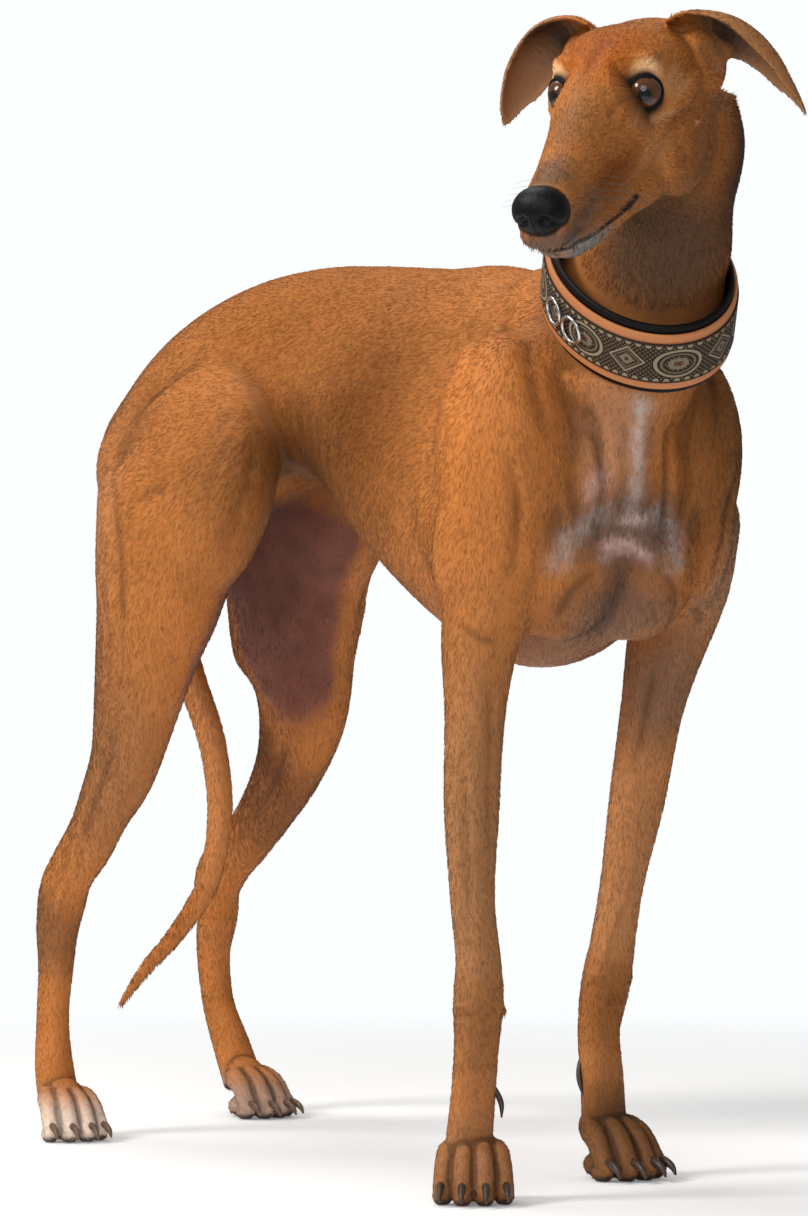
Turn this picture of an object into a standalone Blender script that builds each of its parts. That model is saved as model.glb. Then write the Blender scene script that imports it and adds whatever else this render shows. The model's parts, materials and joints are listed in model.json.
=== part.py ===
"""A standing greyhound at life size, looking over its right shoulder, with a wide decorated collar.

Metres, +Z up. The dog faces +X, its left side is +Y, and its paws stand on z = 0.
The flesh is modelled whole, as clay: lofted limbs and muscle masses are fused into one skin and
smoothed, thinned to few faces, and then parted into named pieces with thin cuts.
"""

import math

import bmesh
import bpy
import numpy as np
from mathutils import Matrix, Vector
from mathutils.bvhtree import BVHTree

# Overall fineness of the solids
GAP = 0.0003
CLAY_VOXEL = 0.0030
FLESH_TRIANGLES = 7300

# Pose of the head: the middle of the two eyes, and how the head turns
HEAD_AT = (0.4885, -0.096, 0.795)
HEAD_YAW = math.radians(-58.0)
HEAD_PITCH = math.radians(28.0)
HEAD_ROLL = math.radians(-0.5)
HEAD_SCALE = 1.07
EYE_AT = (-0.004, 0.0285, 0.001)
EYE_RADIUS = 0.0115
NOSE_AT = (0.1250, 0.0, -0.0270)
NOSE_SIZE = (0.0145, 0.0192, 0.0165)

# Line of the mouth from near the front to the corner, as x and z in the head's frame
MOUTH = ((0.0950, -0.0590), (0.0800, -0.0605), (0.0650, -0.0605), (0.0500, -0.0595), (0.0330, -0.0565))
MOUTH_FRONT = (0.1000, -0.0575)
MOUTH_TURNS = (-62, -38, -14, 14, 38, 62)

# Left eye: how far its gaze turns outward, and the edges of its lids as bearings on the ball,
# outward and upward, from the corner at the nose to the outer corner
EYE_OUTWARD = math.radians(42.0)
LID_REACH = 0.0126
LID_UPPER = ((-66, -14), (-38, 26), (0, 40), (36, 28), (64, 2))
LID_LOWER = ((-66, -14), (-36, -40), (0, -45), (36, -34), (64, 2))

# Wire rings at the right end of the collar's band
BUCKLE_BEARINGS = (math.radians(196.0), math.radians(180.0))
BUCKLE_LIFT = 0.0086
BUCKLE_RADIUS = 0.0100
BUCKLE_WIRE = 0.0014

# Collar: middle of the ring, the way it faces, how it lies round the neck, and its layers
COLLAR_AT = (0.390, 0.002, 0.664)
COLLAR_FACING = (0.60, -0.31, 0.74)
COLLAR_RADII = (0.0590, 0.0780)
# name, inner gap from the ring's radius, thickness, width
COLLAR_LAYERS = (
    ("collar_lining", 0.0000, 0.0040, 0.0620),
    ("collar_strap", 0.0043, 0.0026, 0.0500),
    ("collar_ribbon", 0.0072, 0.0010, 0.0360),
)

# Trunk from rump to breast: x, top z, bottom z, half width, height share of the widest line,
# roundness above and below that line
TRUNK = (
    (-0.352, 0.573, 0.537, 0.022, 0.50, 2.0, 2.0),
    (-0.325, 0.599, 0.522, 0.050, 0.50, 2.0, 2.0),
    (-0.270, 0.639, 0.483, 0.074, 0.50, 1.9, 2.0),
    (-0.200, 0.674, 0.502, 0.084, 0.55, 1.8, 2.0),
    (-0.120, 0.696, 0.528, 0.078, 0.58, 1.8, 2.0),
    (-0.040, 0.703, 0.532, 0.070, 0.56, 1.8, 2.0),
    (0.030, 0.701, 0.504, 0.076, 0.52, 1.8, 2.0),
    (0.090, 0.697, 0.461, 0.088, 0.48, 1.8, 1.9),
    (0.150, 0.693, 0.424, 0.096, 0.46, 1.8, 1.8),
    (0.210, 0.693, 0.398, 0.098, 0.46, 1.7, 1.9),
    (0.270, 0.680, 0.387, 0.092, 0.46, 1.7, 2.1),
    (0.320, 0.645, 0.403, 0.082, 0.48, 1.8, 2.1),
    (0.365, 0.601, 0.448, 0.064, 0.50, 2.0, 2.0),
    (0.392, 0.566, 0.497, 0.034, 0.50, 2.0, 2.0),
)

# Neck: middle x, y, z, half width, half depth at the crest and at the throat, turn in degrees
NECK = (
    (0.250, 0.000, 0.576, 0.0700, 0.0950, 0.0950, 0),
    (0.328, 0.004, 0.613, 0.0690, 0.0880, 0.0880, 0),
    (0.376, 0.008, 0.650, 0.0600, 0.0720, 0.0700, -4),
    (0.404, 0.008, 0.690, 0.0540, 0.0620, 0.0600, -10),
    (0.424, 0.003, 0.734, 0.0500, 0.0560, 0.0530, -22),
    (0.437, 0.009, 0.770, 0.0455, 0.0510, 0.0500, -38),
    (0.446, 0.002, 0.796, 0.0390, 0.0420, 0.0440, -52),
)

# Limbs and tail: middle x, y, z, half width, half depth to the front and to the back
FORELEG_RIGHT = (
    (0.322, -0.074, 0.512, 0.0320, 0.0460, 0.0560),
    (0.320, -0.080, 0.453, 0.0300, 0.0380, 0.0480),
    (0.315, -0.087, 0.404, 0.0280, 0.0290, 0.0360),
    (0.318, -0.093, 0.364, 0.0240, 0.0235, 0.0260),
    (0.325, -0.101, 0.286, 0.0212, 0.0190, 0.0205),
    (0.329, -0.102, 0.212, 0.0170, 0.0140, 0.0165),
    (0.332, -0.100, 0.177, 0.0174, 0.0150, 0.0165),
    (0.333, -0.100, 0.148, 0.0196, 0.0160, 0.0185),
    (0.332, -0.101, 0.113, 0.0177, 0.0125, 0.0165),
    (0.328, -0.102, 0.074, 0.0180, 0.0130, 0.0145),
    (0.322, -0.103, 0.030, 0.0195, 0.0140, 0.0150),
)
FORELEG_LEFT = (
    (0.322, 0.098, 0.512, 0.0320, 0.0460, 0.0560),
    (0.295, 0.110, 0.453, 0.0320, 0.0380, 0.0480),
    (0.275, 0.106, 0.404, 0.0306, 0.0290, 0.0360),
    (0.262, 0.103, 0.364, 0.0262, 0.0235, 0.0260),
    (0.243, 0.100, 0.286, 0.0226, 0.0190, 0.0205),
    (0.226, 0.096, 0.212, 0.0176, 0.0140, 0.0165),
    (0.219, 0.094, 0.177, 0.0184, 0.0150, 0.0165),
    (0.215, 0.091, 0.148, 0.0200, 0.0160, 0.0185),
    (0.216, 0.084, 0.113, 0.0175, 0.0125, 0.0165),
    (0.221, 0.083, 0.074, 0.0180, 0.0130, 0.0145),
    (0.226, 0.082, 0.030, 0.0195, 0.0140, 0.0150),
)
HINDLEG_RIGHT = (
    (-0.150, -0.050, 0.591, 0.0460, 0.0900, 0.1200),
    (-0.128, -0.074, 0.537, 0.0480, 0.1080, 0.1270),
    (-0.132, -0.086, 0.504, 0.0490, 0.0980, 0.1131),
    (-0.141, -0.092, 0.472, 0.0460, 0.0800, 0.0920),
    (-0.146, -0.096, 0.440, 0.0420, 0.0680, 0.0790),
    (-0.156, -0.099, 0.409, 0.0370, 0.0580, 0.0648),
    (-0.172, -0.102, 0.357, 0.0300, 0.0460, 0.0507),
    (-0.194, -0.103, 0.306, 0.0225, 0.0370, 0.0400),
    (-0.219, -0.104, 0.277, 0.0185, 0.0310, 0.0310),
    (-0.247, -0.104, 0.244, 0.0155, 0.0270, 0.0280),
    (-0.272, -0.106, 0.219, 0.0150, 0.0240, 0.0270),
    (-0.290, -0.105, 0.195, 0.0170, 0.0240, 0.0300),
    (-0.299, -0.105, 0.173, 0.0160, 0.0225, 0.0240),
    (-0.302, -0.105, 0.143, 0.0138, 0.0185, 0.0190),
    (-0.306, -0.106, 0.092, 0.0130, 0.0160, 0.0165),
    (-0.299, -0.108, 0.054, 0.0165, 0.0160, 0.0160),
    (-0.290, -0.108, 0.028, 0.0185, 0.0140, 0.0150),
)
HINDLEG_LEFT = (
    (-0.167, 0.050, 0.591, 0.0460, 0.0900, 0.1150),
    (-0.183, 0.068, 0.537, 0.0480, 0.1000, 0.1150),
    (-0.202, 0.077, 0.504, 0.0490, 0.0900, 0.1250),
    (-0.217, 0.081, 0.472, 0.0460, 0.0780, 0.1300),
    (-0.227, 0.085, 0.440, 0.0420, 0.0730, 0.1220),
    (-0.238, 0.091, 0.409, 0.0370, 0.0660, 0.1120),
    (-0.246, 0.099, 0.357, 0.0300, 0.0530, 0.0980),
    (-0.284, 0.107, 0.306, 0.0225, 0.0400, 0.0460),
    (-0.318, 0.112, 0.277, 0.0185, 0.0330, 0.0330),
    (-0.361, 0.116, 0.244, 0.0155, 0.0270, 0.0280),
    (-0.398, 0.118, 0.219, 0.0150, 0.0240, 0.0280),
    (-0.424, 0.119, 0.195, 0.0170, 0.0240, 0.0300),
    (-0.430, 0.122, 0.173, 0.0160, 0.0225, 0.0240),
    (-0.442, 0.125, 0.143, 0.0138, 0.0185, 0.0190),
    (-0.440, 0.129, 0.092, 0.0130, 0.0160, 0.0165),
    (-0.419, 0.131, 0.054, 0.0165, 0.0160, 0.0160),
    (-0.400, 0.130, 0.028, 0.0185, 0.0140, 0.0150),
)
TAIL = (
    (-0.300, 0.000, 0.613, 0.0240, 0.0240, 0.0240),
    (-0.337, 0.000, 0.581, 0.0190, 0.0190, 0.0180),
    (-0.340, 0.001, 0.532, 0.0155, 0.0155, 0.0155),
    (-0.318, 0.005, 0.458, 0.0135, 0.0135, 0.0135),
    (-0.286, 0.012, 0.379, 0.0125, 0.0128, 0.0128),
    (-0.260, 0.020, 0.315, 0.0114, 0.0120, 0.0120),
    (-0.254, 0.022, 0.258, 0.0105, 0.0114, 0.0114),
    (-0.266, 0.018, 0.208, 0.0093, 0.0105, 0.0105),
    (-0.302, 0.010, 0.165, 0.0075, 0.0084, 0.0084),
    (-0.344, 0.000, 0.129, 0.0055, 0.0059, 0.0059),
    (-0.378, -0.004, 0.098, 0.0027, 0.0030, 0.0030),
)

# Muscle masses and bony points: middle, half sizes along its own axes, and turns about X, Y and Z
MASSES = (
    ("shoulder_blade", (0.262, 0.050, 0.592), (0.050, 0.030, 0.095), (16, -30, 0)),
    ("shoulder_point", (0.327, 0.075, 0.548), (0.060, 0.049, 0.088), (0, 0, 0)),
    ("upper_arm", (0.319, 0.084, 0.492), (0.056, 0.036, 0.072), (6, 24, 0)),
    ("triceps", (0.262, 0.072, 0.508), (0.040, 0.032, 0.066), (4, -10, 0)),
    ("breast", (0.338, 0.034, 0.474), (0.044, 0.048, 0.068), (0, 0, 0)),
    ("loin", (-0.060, 0.028, 0.643), (0.160, 0.034, 0.042), (0, 0, 0)),
    ("croup", (-0.172, 0.038, 0.590), (0.094, 0.042, 0.053), (0, -16, 0)),
    ("buttock", (-0.250, 0.056, 0.543), (0.044, 0.034, 0.052), (0, -10, 0)),
)

# Head in its own frame, x to the nose, origin between the eyes: x, top, bottom, half width,
# height share of the widest line, roundness above and below
SKULL = (
    (-0.118, -0.004, -0.030, 0.018, 0.50, 2.0, 2.0),
    (-0.104, 0.010, -0.048, 0.034, 0.55, 2.1, 2.0),
    (-0.075, 0.0205, -0.070, 0.047, 0.60, 2.2, 2.0),
    (-0.045, 0.0300, -0.078, 0.050, 0.62, 2.3, 2.0),
    (-0.018, 0.0310, -0.074, 0.0450, 0.62, 2.3, 2.0),
    (0.008, 0.0260, -0.068, 0.0370, 0.56, 2.2, 2.0),
    (0.035, 0.0135, -0.060, 0.0290, 0.48, 2.1, 2.3),
    (0.060, 0.0040, -0.0575, 0.0245, 0.46, 2.1, 2.4),
    (0.085, -0.0060, -0.0565, 0.0220, 0.46, 2.1, 2.5),
    (0.105, -0.0120, -0.0560, 0.0205, 0.48, 2.1, 2.8),
    (0.120, -0.0165, -0.0545, 0.0185, 0.50, 2.1, 3.0),
    (0.131, -0.0230, -0.0535, 0.0160, 0.50, 2.0, 3.0),
)
JAW = (
    (-0.066, -0.020, -0.070, 0.028, 0.50, 2.0, 2.0),
    (-0.045, -0.020, -0.085, 0.040, 0.50, 2.0, 2.0),
    (-0.010, -0.030, -0.086, 0.034, 0.45, 2.0, 2.0),
    (0.030, -0.040, -0.0800, 0.0250, 0.45, 2.0, 2.1),
    (0.060, -0.045, -0.0775, 0.0205, 0.45, 2.0, 2.2),
    (0.088, -0.045, -0.0745, 0.0175, 0.45, 2.0, 2.2),
    (0.108, -0.045, -0.0690, 0.0150, 0.45, 2.0, 2.4),
    (0.120, -0.046, -0.0625, 0.0115, 0.45, 2.0, 2.2),
)
HEAD_MASSES = (
    ("cheek", (-0.040, 0.034, -0.045), (0.040, 0.016, 0.040), (0, 25, -8)),
    ("cheekbone", (-0.012, 0.037, -0.014), (0.040, 0.010, 0.010), (0, 12, -22)),
    ("brow", (-0.008, 0.024, 0.014), (0.020, 0.013, 0.010), (0, 10, -20)),
    ("ear_base", (-0.068, 0.045, -0.012), (0.026, 0.018, 0.024), (0, 20, 0)),
)

# Ear: steps of the midline from its root in a level frame, radius and half angle of the section,
# and the way that the hollow side faces
EAR_ROOT = (-0.070, 0.031, 0.008)
EAR = (
    ((0.000, 0.000, -0.001), 0.0170, 96, (0.90, 0.00, -0.30)),
    ((-0.003, 0.016, 0.009), 0.0200, 90, (0.80, -0.15, -0.60)),
    ((-0.007, 0.035, 0.012), 0.0225, 80, (0.60, -0.30, -0.80)),
    ((-0.012, 0.052, 0.004), 0.0235, 74, (0.50, -0.60, -0.65)),
    ((-0.018, 0.066, -0.012), 0.0230, 66, (0.50, -0.75, -0.45)),
    ((-0.023, 0.077, -0.031), 0.0190, 56, (0.50, -0.80, -0.25)),
    ((-0.026, 0.084, -0.045), 0.0120, 44, (0.50, -0.80, -0.20)),
    ((-0.028, 0.088, -0.055), 0.0060, 30, (0.50, -0.80, -0.20)),
)
EAR_THICKNESS = 0.0034

# Paws: middle of the foot, heading in degrees, scale
PAWS = {
    "foreleg_right": ((0.328, -0.102), -32, 0.94),
    "foreleg_left": ((0.230, 0.086), 2, 0.98),
    "hindleg_right": ((-0.277, -0.109), -8, 0.88),
    "hindleg_left": ((-0.386, 0.130), 8, 0.88),
}
# across the foot, ahead of its middle, splay in degrees
TOES = ((-0.0215, -0.006, -9), (-0.0078, 0.004, -3), (0.0078, 0.004, 3), (0.0215, -0.006, 9))
DEWCLAWS = {
    "foreleg_right": ((0.326, -0.092, 0.092), (0.333, -0.087, 0.082), (0.338, -0.084, 0.071), (0.340, -0.085, 0.061)),
    "foreleg_left": ((0.214, 0.076, 0.100), (0.214, 0.068, 0.088), (0.218, 0.064, 0.074), (0.222, 0.066, 0.060)),
}


def unit(vector):
    return vector / np.linalg.norm(vector)


def through(rows, steps):
    """More rows between the given ones, on a smooth curve through them."""
    rows = np.array(rows, float)
    gaps = np.maximum(np.linalg.norm(np.diff(rows[:, :3], axis=0), axis=1), 1e-4)
    at = np.concatenate([[0], np.cumsum(gaps)])
    slopes = np.gradient(rows, at, axis=0)
    dense = []
    for i, gap in enumerate(gaps):
        for t in np.linspace(0, 1, steps, endpoint=False):
            a, b = 2 * t**3 - 3 * t**2 + 1, t**3 - 2 * t**2 + t
            c, d = -2 * t**3 + 3 * t**2, t**3 - t**2
            dense.append(a * rows[i] + b * gap * slopes[i] + c * rows[i + 1] + d * gap * slopes[i + 1])
    return np.array(dense + [rows[-1]])


def ring(middle, side, up, wide, high, low, round_up=2.0, round_low=2.0, count=28):
    """Points of one oval section, whose upper and lower halves differ."""
    angles = np.linspace(0, 2 * math.pi, count, endpoint=False)
    across, along = np.cos(angles), np.sin(angles)
    power = np.where(along >= 0, 2 / round_up, 2 / round_low)
    height = np.where(along >= 0, high, low)
    x = wide * np.sign(across) * np.abs(across) ** power
    y = height * np.sign(along) * np.abs(along) ** power
    return middle + np.outer(x, side) + np.outer(y, up)


def mesh_object(name, points, faces):
    mesh = bpy.data.meshes.new(name)
    mesh.from_pydata([tuple(p) for p in points], [], faces)
    mesh.validate()
    made = bpy.data.objects.new(name, mesh)
    bpy.context.scene.collection.objects.link(made)
    return made


def loft(name, rings):
    """A closed skin over a row of sections."""
    count = len(rings[0])
    faces = []
    for i in range(len(rings) - 1):
        for j in range(count):
            k = (j + 1) % count
            faces.append((i * count + j, (i + 1) * count + j, (i + 1) * count + k, i * count + k))
    faces.append(tuple(range(count)))
    last = (len(rings) - 1) * count
    faces.append(tuple(last + j for j in reversed(range(count))))
    made = mesh_object(name, np.concatenate(rings), faces)
    face_out(made.data)
    return made


def face_out(mesh):
    work = bmesh.new()
    work.from_mesh(mesh)
    bmesh.ops.recalc_face_normals(work, faces=work.faces)
    work.to_mesh(mesh)
    work.free()


def spine_loft(name, rows, steps=4):
    """A loft along X whose sections stand upright."""
    rings = []
    for x, top, bottom, wide, share, above, below in through_profile(rows, steps):
        middle = bottom + share * (top - bottom)
        rings.append(
            ring(np.array((x, 0.0, middle)), np.array((0.0, 1.0, 0.0)), np.array((0.0, 0.0, 1.0)),
                 wide, top - middle, middle - bottom, above, below)
        )
    return loft(name, rings)


def through_profile(rows, steps):
    """through() for rows that start with x, top and bottom instead of a point."""
    rows = np.array(rows, float)
    placed = np.column_stack([rows[:, 0], np.zeros((len(rows), 2)), rows[:, 1:]])
    dense = through(placed, steps)
    return np.column_stack([dense[:, 0], dense[:, 3:]])


def path_loft(name, rows, steps=4, twist=None):
    """A loft along a bent path. Rows hold the middle, half width, half depth in front and behind."""
    dense = through(rows, steps)
    tangents = np.gradient(dense[:, :3], axis=0)
    rings = []
    for i, row in enumerate(dense):
        turn = math.radians(row[6]) if len(row) > 6 else (twist or 0.0)
        side = np.array((-math.sin(turn), math.cos(turn), 0.0))
        ahead = unit(tangents[i])
        up = unit(np.cross(ahead, side))
        side = np.cross(up, ahead)
        rings.append(ring(row[:3], side, up, row[3], row[4], row[5]))
    return loft(name, rings)


def mass(name, at, size, turns, segments=28, rings=18):
    """A rounded muscle mass: a stretched and turned sphere."""
    work = bmesh.new()
    bmesh.ops.create_uvsphere(work, u_segments=segments, v_segments=rings, radius=1.0)
    mesh = bpy.data.meshes.new(name)
    work.to_mesh(mesh)
    work.free()
    made = bpy.data.objects.new(name, mesh)
    bpy.context.scene.collection.objects.link(made)
    turn = Matrix.Rotation(math.radians(turns[2]), 4, "Z")
    turn = turn @ Matrix.Rotation(math.radians(turns[1]), 4, "Y")
    turn = turn @ Matrix.Rotation(math.radians(turns[0]), 4, "X")
    mesh.transform(Matrix.Translation(at) @ turn @ Matrix.Diagonal((*size, 1.0)))
    return made


def mirrored_masses(table):
    for name, at, size, turns in table:
        for side, sign in (("left", 1), ("right", -1)):
            yield mass(f"{name}_{side}", (at[0], sign * at[1], at[2]), size,
                       (sign * turns[0], turns[1], sign * turns[2]))


def head_matrix():
    turn = Matrix.Rotation(HEAD_YAW, 4, "Z") @ Matrix.Rotation(HEAD_PITCH, 4, "Y")
    turn = turn @ Matrix.Rotation(HEAD_ROLL, 4, "X") @ Matrix.Diagonal((HEAD_SCALE,) * 3 + (1.0,))
    return Matrix.Translation(HEAD_AT) @ turn


def level_matrix():
    """The head's frame with its yaw but no pitch, for the ears, which hang by their weight."""
    return Matrix.Rotation(HEAD_YAW, 4, "Z")


def ear_leaf(name, sign):
    """The thin bent leaf of one ear, a gutter that closes to a cup at its root."""
    root = head_matrix() @ Vector((EAR_ROOT[0], sign * EAR_ROOT[1], EAR_ROOT[2]))
    rows = []
    for step, radius, angle, hollow in EAR:
        rows.append((step[0], sign * step[1], step[2], radius, angle, hollow[0], sign * hollow[1], hollow[2]))
    dense = through(rows, 2)
    tangents = np.gradient(dense[:, :3], axis=0)
    level = np.array(level_matrix().to_3x3())
    across = 9
    outer, inner = [], []
    for i, row in enumerate(dense):
        ahead = unit(tangents[i])
        hollow = row[5:8] - ahead * (row[5:8] @ ahead)
        hollow = unit(hollow)
        wide = np.cross(ahead, hollow) * sign
        angles = np.radians(row[4]) * np.linspace(-1, 1, across)
        thick = EAR_THICKNESS * (1 - 0.45 * i / len(dense))
        middle = row[:3] + hollow * row[3]
        for radius, line in ((row[3] + thick / 2, outer), (row[3] - thick / 2, inner)):
            points = middle - np.outer(np.cos(angles), hollow) * radius + np.outer(np.sin(angles), wide) * radius
            line.append(points @ level.T + np.array(root))
    rings = [np.concatenate([a, b[::-1]]) for a, b in zip(outer, inner)]
    return loft(name, rings)


def clay_head():
    matrix = head_matrix()
    pieces = [spine_loft("skull", SKULL), spine_loft("jaw", JAW)]
    pieces += list(mirrored_masses(HEAD_MASSES))
    for piece in pieces:
        piece.data.transform(matrix)
    return pieces


def paw(name, at, heading, scale):
    """Four arched toes on their pads, in front of the foot's root."""
    frame = Matrix.Translation((at[0], at[1], 0.0)) @ Matrix.Rotation(math.radians(heading), 4, "Z")
    frame = frame @ Matrix.Diagonal((scale, scale, scale, 1.0))
    pieces = []
    for i, (across, ahead, splay) in enumerate(TOES):
        toe = (
            (-0.016, 0.45 * across, 0.0410, 0.0085, 0.010, 0.012),
            (0.002 + ahead, 0.85 * across, 0.0400, 0.0086, 0.0085, 0.012),
            (0.016 + ahead, 1.00 * across, 0.0320, 0.0084, 0.0090, 0.012),
            (0.026 + ahead, 1.08 * across, 0.0190, 0.0082, 0.0085, 0.010),
            (0.034 + ahead, 1.14 * across, 0.0105, 0.0070, 0.0070, 0.008),
            (0.040 + ahead, 1.17 * across, 0.0080, 0.0035, 0.0035, 0.004),
        )
        piece = path_loft(f"{name}_toe_{i}", toe, 3)
        pad = mass(f"{name}_pad_{i}", (0.026 + ahead, 1.10 * across, 0.0070), (0.0120, 0.0082, 0.0085), (0, 0, splay))
        pieces += [piece, pad]
    pieces.append(mass(f"{name}_heel_pad", (-0.008, 0.0, 0.0100), (0.0170, 0.0190, 0.0120), (0, 0, 0)))
    pieces.append(mass(f"{name}_instep", (-0.010, 0.0, 0.0380), (0.0210, 0.0205, 0.0190), (0, 35, 0)))
    for piece in pieces:
        piece.data.transform(frame)
    return pieces


def clay_body():
    pieces = [spine_loft("trunk", TRUNK), path_loft("neck", NECK), path_loft("tail", TAIL)]
    pieces += list(mirrored_masses(MASSES))
    limbs = {
        "foreleg_right": FORELEG_RIGHT,
        "foreleg_left": FORELEG_LEFT,
        "hindleg_right": HINDLEG_RIGHT,
        "hindleg_left": HINDLEG_LEFT,
    }
    for name, rows in limbs.items():
        pieces.append(path_loft(name, rows))
        pieces += paw(name, *PAWS[name])
    return pieces


def clear_scene():
    for old in list(bpy.data.objects):
        bpy.data.objects.remove(old)


def fuse(name, pieces, voxel):
    """One skin round all the clay pieces."""
    work = bmesh.new()
    for piece in pieces:
        work.from_mesh(piece.data)
        bpy.data.objects.remove(piece)
    mesh = bpy.data.meshes.new(name)
    work.to_mesh(mesh)
    work.free()
    made = bpy.data.objects.new(name, mesh)
    bpy.context.scene.collection.objects.link(made)
    remesh = made.modifiers.new("skin", "REMESH")
    remesh.mode = "VOXEL"
    remesh.voxel_size = voxel
    graph = bpy.context.evaluated_depsgraph_get()
    skinned = bpy.data.meshes.new_from_object(made.evaluated_get(graph))
    made.modifiers.clear()
    made.data = skinned
    return made


def points_of(mesh):
    points = np.empty(len(mesh.vertices) * 3, np.float32)
    mesh.vertices.foreach_get("co", points)
    return points.reshape(-1, 3).astype(float)


def relax(mesh, strength, rounds, swell=-0.50):
    """Smooths the skin by the given strength at each point, with little loss of volume."""
    points = points_of(mesh)
    ends = np.empty(len(mesh.edges) * 2, np.int32)
    mesh.edges.foreach_get("vertices", ends)
    a, b = ends.reshape(-1, 2).T
    count = len(points)
    degree = np.maximum(np.bincount(a, minlength=count) + np.bincount(b, minlength=count), 1)[:, None]
    for turn in range(rounds):
        factor = 0.60 if turn % 2 == 0 else swell
        total = np.stack(
            [np.bincount(a, points[b, k], count) + np.bincount(b, points[a, k], count) for k in range(3)], 1)
        points += factor * strength[:, None] * (total / degree - points)
    mesh.vertices.foreach_set("co", points.astype(np.float32).ravel())
    mesh.update()


def body_softness(points):
    """How strongly each point is smoothed: the trunk and limb roots much, the feet and head little."""
    x, y, z = points.T
    soft = np.clip((z - 0.20) / 0.20, 0.12, 1.0)
    head = np.linalg.norm(points - np.array(HEAD_AT), axis=1)
    soft = np.where(head < 0.16, 0.25, soft)
    tail = (x < -0.24) & (np.abs(y - 0.01) < 0.03) & (z < 0.55)
    return np.where(tail, 0.3, soft)


def thin(made, triangles):
    """Fewer faces: the head and feet keep more of theirs than the trunk."""
    mesh = made.data
    points = points_of(mesh)
    near = np.linalg.norm(points - np.array(HEAD_AT), axis=1) < 0.15
    feet = points[:, 2] < 0.075
    fine = near | feet
    group = made.vertex_groups.new(name="detail")
    group.add(np.flatnonzero(fine).tolist(), 0.9, "REPLACE")
    group.add(np.flatnonzero(~fine).tolist(), 1.0, "REPLACE")
    mesh.calc_loop_triangles()
    thinner = made.modifiers.new("thin", "DECIMATE")
    thinner.ratio = triangles / len(mesh.loop_triangles)
    thinner.vertex_group = "detail"
    thinner.vertex_group_factor = 0.1
    settle(made)


def settle(made):
    """Writes an object's modifiers into its mesh."""
    graph = bpy.context.evaluated_depsgraph_get()
    mesh = bpy.data.meshes.new_from_object(made.evaluated_get(graph))
    made.modifiers.clear()
    made.vertex_groups.clear()
    made.data = mesh


def copied(made, name):
    twin = bpy.data.objects.new(name, made.data.copy())
    bpy.context.scene.collection.objects.link(twin)
    return twin


def combine(target, tool, operation):
    cut = target.modifiers.new(operation.lower(), "BOOLEAN")
    cut.operation = operation
    cut.solver = "EXACT"
    cut.object = tool
    settle(target)


def swollen(made, name, by):
    """A copy whose faces stand out by the given distance."""
    twin = copied(made, name)
    work = bmesh.new()
    work.from_mesh(twin.data)
    work.normal_update()
    moved = [v.co + v.normal * by * min(v.calc_shell_factor(), 1.6) for v in work.verts]
    for vert, co in zip(work.verts, moved):
        vert.co = co
    work.to_mesh(twin.data)
    work.free()
    return twin


def prism(name, outline, plane, low, high):
    """A closed prism on an outline in the XZ or YZ plane."""
    if plane == "XZ":
        near = [(a, low, b) for a, b in outline]
        far = [(a, high, b) for a, b in outline]
    else:
        near = [(low, a, b) for a, b in outline]
        far = [(high, a, b) for a, b in outline]
    count = len(outline)
    faces = [tuple(range(count)), tuple(reversed(range(count, 2 * count)))]
    faces += [(i, (i + 1) % count, (i + 1) % count + count, i + count) for i in range(count)]
    made = mesh_object(name, near + far, faces)
    face_out(made.data)
    return made


def half_box(name, at, facing, size):
    """A box whose one face lies on a cut through the given point, on the side it faces."""
    facing = Vector(facing).normalized()
    turn = facing.to_track_quat("Z", "Y").to_matrix().to_4x4()
    corners = [(x, y, z) for z in (0, size[2]) for x, y in
               ((-size[0], -size[1]), (size[0], -size[1]), (size[0], size[1]), (-size[0], size[1]))]
    faces = [(0, 3, 2, 1), (4, 5, 6, 7), (0, 1, 5, 4), (1, 2, 6, 5), (2, 3, 7, 6), (3, 0, 4, 7)]
    made = mesh_object(name, corners, faces)
    made.data.transform(Matrix.Translation(at) @ turn)
    face_out(made.data)
    return made


def regions():
    """Where the flesh is parted, in the order of the cuts."""
    yield "head", half_box("head_region", (0.450, -0.018, 0.785), (0.53, -0.85, 0.42), (0.20, 0.20, 0.25))
    yield "neck", half_box("neck_region", (0.352, 0.0, 0.624), (0.56, 0.0, 0.83), (0.16, 0.2, 0.3))
    yield "tail", prism("tail_region", ((-0.46, 0.525), (-0.325, 0.525), (-0.298, 0.46), (-0.21, 0.41),
                                        (-0.21, 0.06), (-0.46, 0.06)), "XZ", -0.040, 0.036)
    for side, sign in (("right", -1), ("left", 1)):
        fore = ((0.30, 0.495), (0.064, 0.424), (0.052, 0.385), (0.030, 0.30), (0.030, -0.05), (0.30, -0.05))
        hind = ((0.30, 0.60), (0.034, 0.484), (0.036, 0.44), (0.036, -0.05), (0.30, -0.05))
        outline = [(sign * a, b) for a, b in fore]
        yield f"foreleg_{side}", prism(f"foreleg_{side}_region", outline, "YZ", 0.12, 0.50)
        outline = [(sign * a, b) for a, b in hind]
        yield f"hindleg_{side}", prism(f"hindleg_{side}_region", outline, "YZ", -0.56, 0.0)


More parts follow.
